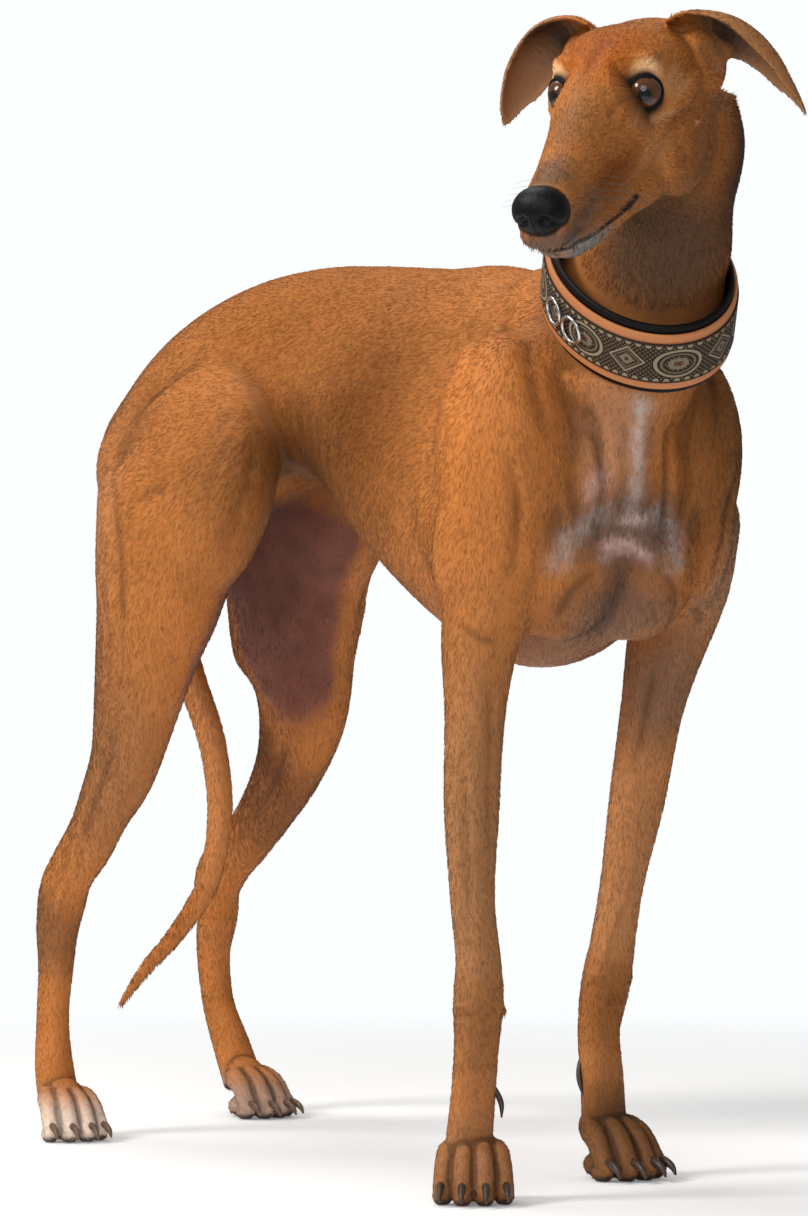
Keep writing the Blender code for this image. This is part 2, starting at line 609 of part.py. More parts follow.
def largest_body(made):
    """Drops crumbs that a cut leaves beside the one closed body."""
    work = bmesh.new()
    work.from_mesh(made.data)
    bmesh.ops.remove_doubles(work, verts=work.verts, dist=0.00002)
    bmesh.ops.dissolve_degenerate(work, edges=work.edges, dist=0.00002)
    left, islands = set(work.verts), []
    while left:
        start = left.pop()
        island, front = {start}, [start]
        while front:
            for edge in front.pop().link_edges:
                for vert in edge.verts:
                    if vert in left:
                        left.discard(vert)
                        island.add(vert)
                        front.append(vert)
        islands.append(island)
    keep = max(islands, key=len)
    if len(islands) > 1:
        print(f"{made.name}: {len(islands)} bodies, kept {len(keep)} of {len(work.verts)} points",
              [tuple(round(v, 3) for v in next(iter(i)).co) for i in islands if i is not keep])
    bmesh.ops.delete(work, geom=[v for v in work.verts if v not in keep], context="VERTS")
    bmesh.ops.triangulate(work, faces=work.faces)
    work.to_mesh(made.data)
    work.free()


def part_flesh(flesh):
    """Parts the flesh into the named pieces, with thin gaps between them."""
    parts = {}
    for name, region in regions():
        piece = copied(flesh, name)
        combine(piece, region, "INTERSECT")
        wider = swollen(region, region.name + "_wide", GAP)
        combine(flesh, wider, "DIFFERENCE")
        largest_body(piece)
        parts[name] = piece
        bpy.data.objects.remove(wider)
        bpy.data.objects.remove(region)
    flesh.name = "torso"
    largest_body(flesh)
    parts["torso"] = flesh
    return parts


def tube(name, path, radius, count=8, flat=1.0):
    """A round bar along a path, thinner at its ends."""
    path = np.array(path, float)
    wide = radius * np.sin(np.linspace(0.25, math.pi - 0.25, len(path))) ** 0.5
    rows = np.column_stack([path, wide, wide * flat, wide * flat])
    dense = through(rows, 3)
    tangents = np.gradient(dense[:, :3], axis=0)
    rings = []
    for i, row in enumerate(dense):
        ahead = unit(tangents[i])
        side = unit(np.cross(ahead, (0.12, 0.34, 0.93)))
        rings.append(ring(row[:3], side, np.cross(side, ahead), row[3], row[4], row[5], count=count))
    return loft(name, rings)


def eye_matrix(sign):
    """The frame of one eye: x out through the pupil."""
    place = Matrix.Translation((EYE_AT[0], sign * EYE_AT[1], EYE_AT[2]))
    return head_matrix() @ place @ Matrix.Rotation(sign * EYE_OUTWARD, 4, "Z")


def lid_path(bearings, sign):
    path = []
    for outward, upward in bearings:
        a, b = math.radians(sign * outward), math.radians(upward)
        path.append((LID_REACH * math.cos(a) * math.cos(b), LID_REACH * math.sin(a) * math.cos(b),
                     LID_REACH * math.sin(b)))
    return path


def ball(name, size, segments=16, rings=10):
    work = bmesh.new()
    bmesh.ops.create_uvsphere(work, u_segments=segments, v_segments=rings, radius=1.0)
    mesh = bpy.data.meshes.new(name)
    work.to_mesh(mesh)
    work.free()
    mesh.transform(Matrix.Diagonal((*size, 1.0)))
    made = bpy.data.objects.new(name, mesh)
    bpy.context.scene.collection.objects.link(made)
    return made


def mouth_path(head):
    """The line of the mouth laid on the skin of both sides, round the front of the lips."""
    tree = BVHTree.FromPolygons([v.co for v in head.data.vertices], [p.vertices for p in head.data.polygons])
    matrix = head_matrix()
    path = []
    for sign, row in ((-1, MOUTH[::-1]), (1, MOUTH)):
        for x, z in row:
            start, outward = matrix @ Vector((x, 0.0, z)), matrix.to_3x3() @ Vector((0.0, sign, 0.0))
            path.append(tree.ray_cast(start, outward.normalized())[0])
        for turn in MOUTH_TURNS if sign < 0 else ():
            angle = math.radians(turn)
            ahead = matrix.to_3x3() @ Vector((math.cos(angle), math.sin(angle), 0.0))
            start = matrix @ Vector((MOUTH_FRONT[0], 0.0, MOUTH_FRONT[1]))
            path.append(tree.ray_cast(start, ahead.normalized())[0])
    return [tuple(point) for point in path]


def finish_face(parts):
    """Eyes in their sockets, lids, nose with nostrils, the line of the mouth, and the ears."""
    head = parts["head"]
    bed = swollen(head, "ear_bed", GAP)
    for side, sign in (("left", 1), ("right", -1)):
        ear = ear_leaf(f"ear_{side}", sign)
        combine(ear, bed, "DIFFERENCE")
        largest_body(ear)
        parts[f"ear_{side}"] = ear
    bpy.data.objects.remove(bed)
    for side, sign in (("left", 1), ("right", -1)):
        opening = mass("opening", (0.0150, 0.0, -0.0005), (0.0110, 0.0105, 0.0082), (0, 0, 0), 16, 10)
        opening.data.transform(eye_matrix(sign))
        combine(head, opening, "DIFFERENCE")
        bpy.data.objects.remove(opening)
        for name, lid in (("upper_lid", LID_UPPER), ("lower_lid", LID_LOWER)):
            bar = tube(f"{name}_{side}", lid_path(lid, sign), 0.0020, 6)
            bar.data.transform(eye_matrix(sign))
            combine(head, bar, "UNION")
            bpy.data.objects.remove(bar)
        eye = ball(f"eye_{side}", (EYE_RADIUS,) * 3)
        eye.data.transform(eye_matrix(sign))
        socket = swollen(eye, "socket", GAP)
        combine(head, socket, "DIFFERENCE")
        bpy.data.objects.remove(socket)
        parts[f"eye_{side}"] = eye
    matrix = head_matrix()
    nose = ball("nose", NOSE_SIZE, 18, 10)
    nose.data.transform(Matrix.Translation(NOSE_AT))
    nose.data.transform(matrix)
    bed = swollen(nose, "bed", GAP)
    combine(head, bed, "DIFFERENCE")
    bpy.data.objects.remove(bed)
    for sign in (1, -1):
        hole = mass("nostril", (0.1330, sign * 0.0088, -0.0290), (0.0070, 0.0036, 0.0042), (sign * 25, 0, sign * 24), 10, 8)
        hole.data.transform(matrix)
        combine(nose, hole, "DIFFERENCE")
        bpy.data.objects.remove(hole)
    parts["nose"] = nose
    groove = tube("mouth_line", mouth_path(head), 0.0019, 6)
    combine(head, groove, "DIFFERENCE")
    bpy.data.objects.remove(groove)
    largest_body(head)
    largest_body(nose)


def claw(name, at, heading, scale, across, ahead):
    """One claw, curved down and forward from its toe."""
    path = (
        (0.030 + ahead, 1.14 * across, 0.0150, 0.0034, 0.0040, 0.0040),
        (0.042 + ahead, 1.20 * across, 0.0135, 0.0030, 0.0034, 0.0034),
        (0.050 + ahead, 1.22 * across, 0.0090, 0.0022, 0.0024, 0.0024),
        (0.053 + ahead, 1.23 * across, 0.0040, 0.0010, 0.0010, 0.0010),
    )
    frame = Matrix.Translation((at[0], at[1], 0.0)) @ Matrix.Rotation(math.radians(heading), 4, "Z")
    frame = frame @ Matrix.Diagonal((scale, scale, scale, 1.0))
    rows = np.array(path)
    tangents = np.gradient(rows[:, :3], axis=0)
    rings = []
    for i, row in enumerate(rows):
        forward = unit(tangents[i])
        side = np.array((0.0, 1.0, 0.0))
        up = unit(np.cross(forward, side))
        rings.append(ring(row[:3], side, up, row[3], row[4], row[5], count=8))
    made = loft(name, rings)
    made.data.transform(frame)
    return made


def dewclaw(name, rows):
    return tube(name, rows, 0.0042, 8)


def finish_paws(parts):
    for name, place in PAWS.items():
        leg = parts[name]
        for i, (across, ahead, splay) in enumerate(TOES):
            nail = claw(f"{name}_claw_{i}", *place, across, ahead)
            combine(leg, nail, "UNION")
            bpy.data.objects.remove(nail)
        if name in DEWCLAWS:
            nail = dewclaw(f"{name}_dewclaw", DEWCLAWS[name])
            combine(leg, nail, "UNION")
            bpy.data.objects.remove(nail)
        stand(leg)
        largest_body(leg)


def collar_place(angle):
    """A point on the collar's ring, the way out from it, and the way across the band."""
    facing = Vector(COLLAR_FACING).normalized()
    side = Vector((0.0, 1.0, 0.0))
    side = (side - facing * side.dot(facing)).normalized()
    down = facing.cross(side)
    across, along = COLLAR_RADII[0] * math.cos(angle), COLLAR_RADII[1] * math.sin(angle)
    out = (side * math.cos(angle) / COLLAR_RADII[0] + down * math.sin(angle) / COLLAR_RADII[1]).normalized()
    return Vector(COLLAR_AT) + side * across + down * along, out, facing


def collar_ring(name, gap, thick, width, steps=56):
    """One layer of the collar: a flat band bent to a ring round the neck."""
    profile = []
    for x, y in ((-1, 0), (-1, 1), (1, 1), (1, 0)):
        profile.append((x * width / 2, gap + y * thick))
    points, faces = [], []
    for i in range(steps):
        centre, out, facing = collar_place(2 * math.pi * i / steps)
        for along, height in profile:
            points.append(centre + facing * along + out * height)
    count = len(profile)
    for i in range(steps):
        for j in range(count):
            k, n = (j + 1) % count, (i + 1) % steps
            faces.append((i * count + j, n * count + j, n * count + k, i * count + k))
    made = mesh_object(name, points, faces)
    face_out(made.data)
    return made


def finish_collar(parts):
    for name, gap, thick, width in COLLAR_LAYERS:
        parts[name] = collar_ring(name, gap, thick, width)
    room = collar_ring("collar_room", -GAP, 0.0105, COLLAR_LAYERS[0][3] + 2 * GAP)
    for name in ("neck", "torso", "head"):
        combine(parts[name], room, "DIFFERENCE")
        largest_body(parts[name])
    bpy.data.objects.remove(room)


def hoop(name, at, facing, radius, wire, steps=20):
    """A round wire ring."""
    turn = Vector(facing).normalized().to_track_quat("Z", "Y").to_matrix()
    points, faces = [], []
    for i in range(steps):
        angle = 2 * math.pi * i / steps
        out = turn @ Vector((math.cos(angle), math.sin(angle), 0.0))
        for j in range(6):
            tilt = 2 * math.pi * j / 6
            points.append(Vector(at) + out * (radius + wire * math.cos(tilt)) + turn.col[2] * wire * math.sin(tilt))
    for i in range(steps):
        for j in range(6):
            k, n = (j + 1) % 6, (i + 1) % steps
            faces.append((i * 6 + j, n * 6 + j, n * 6 + k, i * 6 + k))
    made = mesh_object(name, points, faces)
    face_out(made.data)
    return made


def finish_buckle(parts):
    """Two wire rings on the right side of the collar, standing on the band."""
    for i, angle in enumerate(BUCKLE_BEARINGS):
        centre, out, facing = collar_place(angle)
        parts[f"collar_ring_{i + 1}"] = hoop(
            f"collar_ring_{i + 1}", centre + out * (BUCKLE_LIFT + BUCKLE_WIRE), out, BUCKLE_RADIUS, BUCKLE_WIRE)


def stand(made):
    """Flattens what would reach below the floor."""
    points = points_of(made.data)
    points[:, 2] = np.maximum(points[:, 2], 0.0)
    made.data.vertices.foreach_set("co", points.astype(np.float32).ravel())
    made.data.update()


COLOURS = {
    "flesh": (0.55, 0.28, 0.10, 1.0),
    "nose": (0.02, 0.02, 0.02, 1.0),
    "eye": (0.10, 0.03, 0.01, 1.0),
    "collar_lining": (0.01, 0.01, 0.01, 1.0),
    "collar_strap": (0.60, 0.36, 0.20, 1.0),
    "collar_ribbon": (0.20, 0.19, 0.15, 1.0),
    "collar_ring_1": (0.55, 0.55, 0.56, 1.0),
    "collar_ring_2": (0.55, 0.55, 0.56, 1.0),
}


def paint(parts):
    home = bpy.data.collections.new("greyhound")
    bpy.context.scene.collection.children.link(home)
    for name, part in parts.items():
        kind = "eye" if name.startswith("eye") else name if name in COLOURS else "flesh"
        material = bpy.data.materials.new(name)
        material.use_nodes = True
        shader = material.node_tree.nodes["Principled BSDF"]
        shader.inputs["Base Color"].default_value = COLOURS[kind]
        shader.inputs["Roughness"].default_value = 0.15 if kind in ("eye", "nose") else 0.7
        part.data.materials.clear()
        part.data.materials.append(material)
        part.name = name
        part.data.name = name
        for old in list(part.users_collection):
            old.objects.unlink(part)
        home.objects.link(part)


def place_origin(parts):
    """Puts the origin on the floor under the middle of the whole dog."""
    every = np.concatenate([points_of(part.data) for part in parts.values()])
    low, high = every.min(axis=0), every.max(axis=0)
    shift = -(low + high) / 2
    shift[2] = -low[2]
    print("moved by", [round(float(value), 5) for value in shift])
    for part in parts.values():
        part.data.transform(Matrix.Translation(shift))


def main():
    clear_scene()
    pieces = clay_body() + clay_head()
    flesh = fuse("flesh", pieces, CLAY_VOXEL)
    softness = body_softness(points_of(flesh.data))
    relax(flesh.data, np.clip(softness - 0.4, 0.0, 0.6), 60, 0.5)
    relax(flesh.data, softness, 50)
    stand(flesh)
    thin(flesh, FLESH_TRIANGLES)
    parts = part_flesh(flesh)
    finish_face(parts)
    finish_paws(parts)
    finish_collar(parts)
    finish_buckle(parts)
    place_origin(parts)
    paint(parts)


if __name__ == "__main__":
    main()
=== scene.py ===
import json
import math

import bmesh
import bpy
import numpy as np
from mathutils import Matrix, Vector
from mathutils.bvhtree import BVHTree

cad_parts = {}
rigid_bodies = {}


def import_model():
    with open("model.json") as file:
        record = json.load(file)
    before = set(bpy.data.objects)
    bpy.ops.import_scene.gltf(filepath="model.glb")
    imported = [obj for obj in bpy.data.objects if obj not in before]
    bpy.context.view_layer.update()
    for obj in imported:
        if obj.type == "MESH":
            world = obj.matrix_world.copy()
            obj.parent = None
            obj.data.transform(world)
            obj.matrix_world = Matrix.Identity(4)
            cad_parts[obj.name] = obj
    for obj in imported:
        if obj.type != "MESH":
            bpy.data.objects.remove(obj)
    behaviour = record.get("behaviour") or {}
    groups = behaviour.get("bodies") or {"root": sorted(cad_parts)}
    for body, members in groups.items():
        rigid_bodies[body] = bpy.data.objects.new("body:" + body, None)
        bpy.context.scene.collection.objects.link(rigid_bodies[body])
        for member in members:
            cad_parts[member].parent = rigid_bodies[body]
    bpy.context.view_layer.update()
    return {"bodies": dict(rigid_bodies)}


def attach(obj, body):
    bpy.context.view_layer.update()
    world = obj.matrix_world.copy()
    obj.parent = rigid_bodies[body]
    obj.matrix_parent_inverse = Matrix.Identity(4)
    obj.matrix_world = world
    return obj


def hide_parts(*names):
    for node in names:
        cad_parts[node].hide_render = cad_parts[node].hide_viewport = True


# A greyhound with a short fawn coat, standing with its head turned to its right, and its collar.
# Lengths in metres. The forms are laid out with the dog facing +X and its left side at +Y, and
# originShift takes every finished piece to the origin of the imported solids.

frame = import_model()
print("solids loaded")

originShift = Vector((-0.05064, 0.02067, 0.0))
clay = {"bodyGrain": 0.0026, "headGrain": 0.00135, "pawGrain": 0.0014, "coatDepth": 0.0006,
        "pawTop": 0.19, "pawCut": 0.1, "pawLap": 0.006}

# Trunk from rump to breast: x, top, bottom, half width, height share of the widest line, roundness
# above and below it. Neck: middle, half width, half depth at the crest and the throat, turn.
# Legs and tail: middle, half width, half depth to the front and to the back.
bodyForm = {
    "trunk": (
        (-0.352, 0.573, 0.537, 0.022, 0.5, 2.0, 2.0),
        (-0.325, 0.599, 0.522, 0.05, 0.5, 2.0, 2.0),
        (-0.27, 0.639, 0.483, 0.074, 0.5, 1.9, 2.0),
        (-0.2, 0.674, 0.502, 0.084, 0.55, 1.8, 2.0),
        (-0.12, 0.696, 0.528, 0.078, 0.58, 1.8, 2.0),
        (-0.04, 0.703, 0.532, 0.07, 0.56, 1.8, 2.0),
        (0.03, 0.701, 0.504, 0.076, 0.52, 1.8, 2.0),
        (0.09, 0.697, 0.461, 0.088, 0.48, 1.8, 1.9),
        (0.15, 0.693, 0.424, 0.096, 0.46, 1.8, 1.8),
        (0.21, 0.693, 0.398, 0.098, 0.46, 1.7, 1.9),
        (0.27, 0.68, 0.387, 0.092, 0.46, 1.7, 2.1),
        (0.32, 0.645, 0.403, 0.082, 0.48, 1.8, 2.1),
        (0.365, 0.601, 0.448, 0.064, 0.5, 2.0, 2.0),
        (0.392, 0.566, 0.497, 0.034, 0.5, 2.0, 2.0),
    ),
    "neck": (
        (0.25, 0.0, 0.576, 0.07, 0.095, 0.095, 0),
        (0.328, 0.004, 0.613, 0.069, 0.088, 0.088, 0),
        (0.376, 0.008, 0.65, 0.06, 0.072, 0.07, -4),
        (0.404, 0.008, 0.69, 0.054, 0.062, 0.06, -10),
        (0.424, 0.003, 0.734, 0.05, 0.056, 0.053, -22),
        (0.437, 0.009, 0.77, 0.0455, 0.051, 0.05, -38),
        (0.446, 0.002, 0.796, 0.039, 0.042, 0.044, -52),
    ),
    "forelegRight": (
        (0.322, -0.074, 0.512, 0.032, 0.046, 0.056),
        (0.32, -0.08, 0.453, 0.03, 0.038, 0.048),
        (0.315, -0.087, 0.404, 0.028, 0.029, 0.036),
        (0.318, -0.093, 0.364, 0.024, 0.0235, 0.026),
        (0.325, -0.101, 0.286, 0.0212, 0.019, 0.0205),
        (0.329, -0.102, 0.212, 0.017, 0.014, 0.0165),
        (0.332, -0.1, 0.177, 0.0174, 0.015, 0.0165),
        (0.333, -0.1, 0.148, 0.0196, 0.016, 0.0185),
        (0.332, -0.101, 0.113, 0.0177, 0.0125, 0.0165),
        (0.328, -0.102, 0.074, 0.018, 0.013, 0.0145),
        (0.322, -0.103, 0.03, 0.0195, 0.014, 0.015),
    ),
    "forelegLeft": (
        (0.322, 0.098, 0.512, 0.032, 0.046, 0.056),
        (0.295, 0.11, 0.453, 0.032, 0.038, 0.048),
        (0.275, 0.106, 0.404, 0.0306, 0.029, 0.036),
        (0.262, 0.103, 0.364, 0.0262, 0.0235, 0.026),
        (0.243, 0.1, 0.286, 0.0226, 0.019, 0.0205),
        (0.226, 0.096, 0.212, 0.0176, 0.014, 0.0165),
        (0.219, 0.094, 0.177, 0.0184, 0.015, 0.0165),
        (0.215, 0.091, 0.148, 0.02, 0.016, 0.0185),
        (0.216, 0.084, 0.113, 0.0175, 0.0125, 0.0165),
        (0.221, 0.083, 0.074, 0.018, 0.013, 0.0145),
        (0.226, 0.082, 0.03, 0.0195, 0.014, 0.015),
    ),
    "hindlegRight": (
        (-0.15, -0.05, 0.591, 0.046, 0.09, 0.12),
        (-0.128, -0.074, 0.537, 0.048, 0.108, 0.127),
        (-0.132, -0.086, 0.504, 0.049, 0.098, 0.1131),
        (-0.141, -0.092, 0.472, 0.046, 0.08, 0.092),
        (-0.146, -0.096, 0.44, 0.042, 0.068, 0.079),
        (-0.156, -0.099, 0.409, 0.037, 0.058, 0.0648),
        (-0.172, -0.102, 0.357, 0.03, 0.046, 0.0507),
        (-0.194, -0.103, 0.306, 0.0225, 0.037, 0.04),
        (-0.219, -0.104, 0.277, 0.0185, 0.031, 0.031),
        (-0.247, -0.104, 0.244, 0.0155, 0.027, 0.028),
        (-0.272, -0.106, 0.219, 0.015, 0.024, 0.027),
        (-0.29, -0.105, 0.195, 0.017, 0.024, 0.03),
        (-0.299, -0.105, 0.173, 0.016, 0.0225, 0.024),
        (-0.302, -0.105, 0.143, 0.0138, 0.0185, 0.019),
        (-0.306, -0.106, 0.092, 0.013, 0.016, 0.0165),
        (-0.299, -0.108, 0.054, 0.0165, 0.016, 0.016),
        (-0.29, -0.108, 0.028, 0.0185, 0.014, 0.015),
    ),
    "hindlegLeft": (
        (-0.167, 0.05, 0.591, 0.046, 0.09, 0.115),
        (-0.183, 0.068, 0.537, 0.048, 0.1, 0.115),
        (-0.202, 0.077, 0.504, 0.049, 0.09, 0.125),
        (-0.217, 0.081, 0.472, 0.046, 0.078, 0.13),
        (-0.227, 0.085, 0.44, 0.042, 0.073, 0.122),
        (-0.238, 0.091, 0.409, 0.037, 0.066, 0.108),
        (-0.246, 0.099, 0.357, 0.03, 0.053, 0.09),
        (-0.284, 0.107, 0.306, 0.0225, 0.04, 0.046),
        (-0.318, 0.112, 0.277, 0.0185, 0.033, 0.033),
        (-0.361, 0.116, 0.244, 0.0155, 0.027, 0.028),
        (-0.398, 0.118, 0.219, 0.015, 0.024, 0.028),
        (-0.424, 0.119, 0.195, 0.017, 0.024, 0.03),
        (-0.43, 0.122, 0.173, 0.016, 0.0225, 0.024),
        (-0.442, 0.125, 0.143, 0.0138, 0.0185, 0.019),
        (-0.44, 0.129, 0.092, 0.013, 0.016, 0.0165),
        (-0.419, 0.131, 0.054, 0.0165, 0.016, 0.016),
        (-0.4, 0.13, 0.028, 0.0185, 0.014, 0.015),
    ),
    "tail": (
        (-0.3, 0.0, 0.613, 0.024, 0.024, 0.024),
        (-0.337, 0.0, 0.581, 0.019, 0.019, 0.018),
        (-0.34, 0.001, 0.532, 0.0155, 0.0155, 0.0155),
        (-0.318, 0.005, 0.458, 0.0135, 0.0135, 0.0135),
        (-0.286, 0.012, 0.379, 0.0125, 0.0128, 0.0128),
        (-0.26, 0.02, 0.315, 0.0114, 0.012, 0.012),
        (-0.254, 0.022, 0.258, 0.0105, 0.0114, 0.0114),
        (-0.266, 0.018, 0.208, 0.0093, 0.0105, 0.0105),
        (-0.302, 0.01, 0.165, 0.0075, 0.0084, 0.0084),
        (-0.344, 0.0, 0.129, 0.0055, 0.0059, 0.0059),
        (-0.378, -0.004, 0.098, 0.0027, 0.003, 0.003),
    ),
    # muscle masses and bony points: middle, half sizes, turns about X, Y and Z
    "masses": (
        ("shoulder_blade", (0.262, 0.05, 0.592), (0.05, 0.03, 0.095), (16, -30, 0)),
        ("shoulder_point", (0.327, 0.075, 0.548), (0.06, 0.049, 0.088), (0, 0, 0)),
        ("upper_arm", (0.319, 0.084, 0.492), (0.056, 0.036, 0.072), (6, 24, 0)),
        ("triceps", (0.262, 0.072, 0.508), (0.04, 0.032, 0.066), (4, -10, 0)),
        ("breast", (0.338, 0.034, 0.474), (0.044, 0.048, 0.068), (0, 0, 0)),
        ("loin", (-0.06, 0.028, 0.643), (0.16, 0.034, 0.042), (0, 0, 0)),
        ("croup", (-0.172, 0.038, 0.59), (0.094, 0.042, 0.053), (0, -16, 0)),
        ("buttock", (-0.25, 0.056, 0.543), (0.044, 0.034, 0.052), (0, -10, 0)),
    ),
}

# Head in its own frame, x to the nose, with the origin between the eyes.
headForm = {
    "at": (0.4885, -0.096, 0.795),
    "yaw": -58.0,
    "pitch": 28.0,
    "roll": -0.5,
    "scale": 1.07,
    "skull": (
        (-0.118, -0.004, -0.03, 0.018, 0.5, 2.0, 2.0),
        (-0.104, 0.01, -0.048, 0.034, 0.55, 2.1, 2.0),
        (-0.075, 0.0205, -0.07, 0.047, 0.6, 2.2, 2.0),
        (-0.045, 0.03, -0.078, 0.05, 0.62, 2.3, 2.0),
        (-0.018, 0.031, -0.074, 0.045, 0.62, 2.3, 2.0),
        (0.008, 0.026, -0.068, 0.037, 0.56, 2.2, 2.0),
        (0.035, 0.0135, -0.06, 0.029, 0.48, 2.1, 2.3),
        (0.06, 0.004, -0.0575, 0.0245, 0.46, 2.1, 2.4),
        (0.085, -0.006, -0.0565, 0.022, 0.46, 2.1, 2.5),
        (0.105, -0.012, -0.056, 0.0205, 0.48, 2.1, 2.8),
        (0.12, -0.0165, -0.0545, 0.0185, 0.5, 2.1, 3.0),
        (0.131, -0.023, -0.0535, 0.016, 0.5, 2.0, 3.0),
    ),
    "jaw": (
        (-0.066, -0.02, -0.07, 0.028, 0.5, 2.0, 2.0),
        (-0.045, -0.02, -0.085, 0.04, 0.5, 2.0, 2.0),
        (-0.01, -0.03, -0.086, 0.034, 0.45, 2.0, 2.0),
        (0.03, -0.04, -0.08, 0.025, 0.45, 2.0, 2.1),
        (0.06, -0.045, -0.0775, 0.0205, 0.45, 2.0, 2.2),
        (0.088, -0.045, -0.0745, 0.0175, 0.45, 2.0, 2.2),
        (0.108, -0.045, -0.069, 0.015, 0.45, 2.0, 2.4),
        (0.12, -0.046, -0.0625, 0.0115, 0.45, 2.0, 2.2),
    ),
    "masses": (
        ("cheek", (-0.04, 0.032, -0.045), (0.046, 0.017, 0.042), (0, 25, -6)),
        ("cheekbone", (-0.012, 0.037, -0.014), (0.04, 0.01, 0.01), (0, 12, -22)),
        ("brow", (-0.008, 0.024, 0.014), (0.02, 0.013, 0.01), (0, 10, -20)),
        ("ear_base", (-0.07, 0.041, -0.01), (0.026, 0.017, 0.026), (0, 20, 0)),
    ),
}

# Ear: steps of the midline from its root in a level frame, radius and half angle of the section,
# and the way that the hollow side faces.
earForm = {
    "root": (-0.07, 0.031, 0.008),
    "thick": 0.0036,
    "rows": (
        ((0.0, 0.0, -0.001), 0.017, 96, (0.9, 0.0, -0.3)),
        ((-0.003, 0.016, 0.009), 0.02, 90, (0.8, -0.15, -0.6)),
        ((-0.007, 0.035, 0.012), 0.0225, 80, (0.6, -0.3, -0.8)),
        ((-0.012, 0.052, 0.004), 0.0235, 74, (0.5, -0.6, -0.65)),
        ((-0.018, 0.066, -0.012), 0.023, 66, (0.5, -0.75, -0.45)),
        ((-0.023, 0.0755, -0.031), 0.019, 56, (0.5, -0.8, -0.25)),
        ((-0.026, 0.0815, -0.045), 0.0125, 44, (0.5, -0.8, -0.2)),
        ((-0.028, 0.0845, -0.054), 0.007, 30, (0.5, -0.8, -0.2)),
    ),
}

# Paws: middle of the foot, heading in degrees, scale. Toes: across the foot, ahead, splay.
pawForm = {
    "forelegRight": ((0.328, -0.102), -32, 0.94),
    "forelegLeft": ((0.23, 0.086), 2, 0.98),
    "hindlegRight": ((-0.277, -0.109), -8, 0.88),
    "hindlegLeft": ((-0.386, 0.13), 8, 0.88),
}
toeForm = ((-0.0215, -0.006, -9), (-0.0078, 0.004, -3), (0.0078, 0.004, 3), (0.0215, -0.006, 9))


def unit(vector):
    return vector / np.linalg.norm(vector)


def linked(name, data):
    made = bpy.data.objects.new(name, data)
    bpy.context.scene.collection.objects.link(made)
    return made


def opened(mesh):
    work = bmesh.new()
    work.from_mesh(mesh)
    return work


def closed(work, mesh):
    work.to_mesh(mesh)
    work.free()


def fromWork(name, work):
    mesh = bpy.data.meshes.new(name)
    closed(work, mesh)
    return linked(name, mesh)


def joined(name, pieces):
    # one object of all the pieces, in their order
    work = bmesh.new()
    for piece in pieces:
        work.from_mesh(piece.data)
        bpy.data.objects.remove(piece)
    return fromWork(name, work)


def turnBy(x, y, z):
    # a turn about X, then Y, then Z, in degrees
    turn = Matrix.Rotation(math.radians(z), 4, "Z") @ Matrix.Rotation(math.radians(y), 4, "Y")
    return turn @ Matrix.Rotation(math.radians(x), 4, "X")


def carried(points, matrix):
    m = np.array(matrix)
    return np.asarray(points, float) @ m[:3, :3].T + m[:3, 3]


def readAll(items, name, width, kind=np.float32):
    # one attribute of all the items, a row for each
    values = np.empty(len(items) * width, kind)
    items.foreach_get(name, values)
    return values.reshape(-1, width)


def through(rows, steps):
    # more rows between the given ones, on a smooth curve through them
    rows = np.array(rows, float)
    gaps = np.maximum(np.linalg.norm(np.diff(rows[:, :3], axis=0), axis=1), 1e-4)
    at = np.concatenate([[0], np.cumsum(gaps)])
    slopes = np.gradient(rows, at, axis=0)
    dense = []
    for i, gap in enumerate(gaps):
        for t in np.linspace(0, 1, steps, endpoint=False):
            a, b = 2 * t**3 - 3 * t**2 + 1, t**3 - 2 * t**2 + t
            c, d = -2 * t**3 + 3 * t**2, t**3 - t**2
            dense.append(a * rows[i] + b * gap * slopes[i] + c * rows[i + 1] + d * gap * slopes[i + 1])
    return np.array(dense + [rows[-1]])


def oval(middle, side, up, wide, high, low, roundUp=2.0, roundLow=2.0, count=36):
    angles = np.linspace(0, 2 * math.pi, count, endpoint=False)
    across, along = np.cos(angles), np.sin(angles)
    power = np.where(along >= 0, 2 / roundUp, 2 / roundLow)
    height = np.where(along >= 0, high, low)
    x = wide * np.sign(across) * np.abs(across) ** power
    y = height * np.sign(along) * np.abs(along) ** power
    return middle + np.outer(x, side) + np.outer(y, up)


def meshObject(name, points, faces):
    mesh = bpy.data.meshes.new(name)
    mesh.from_pydata([tuple(p) for p in points], [], faces)
    return linked(name, mesh)


def faceOut(mesh):
    work = opened(mesh)
    bmesh.ops.recalc_face_normals(work, faces=work.faces)
    closed(work, mesh)


def gridFaces(rows, count, looped):
    # four sided faces between rows of points, where each row is a ring; looped joins last to first
    faces = []
    for i in range(rows if looped else rows - 1):
        for j in range(count):
            n, k = (i + 1) % rows, (j + 1) % count
            faces.append((i * count + j, n * count + j, n * count + k, i * count + k))
    return faces


def loft(name, rings):
    # a closed skin over a row of sections
    count = len(rings[0])
    last = (len(rings) - 1) * count
    faces = gridFaces(len(rings), count, False)
    faces += [tuple(range(count)), tuple(last + j for j in reversed(range(count)))]
    made = meshObject(name, np.concatenate(rings), faces)
    faceOut(made.data)
    return made


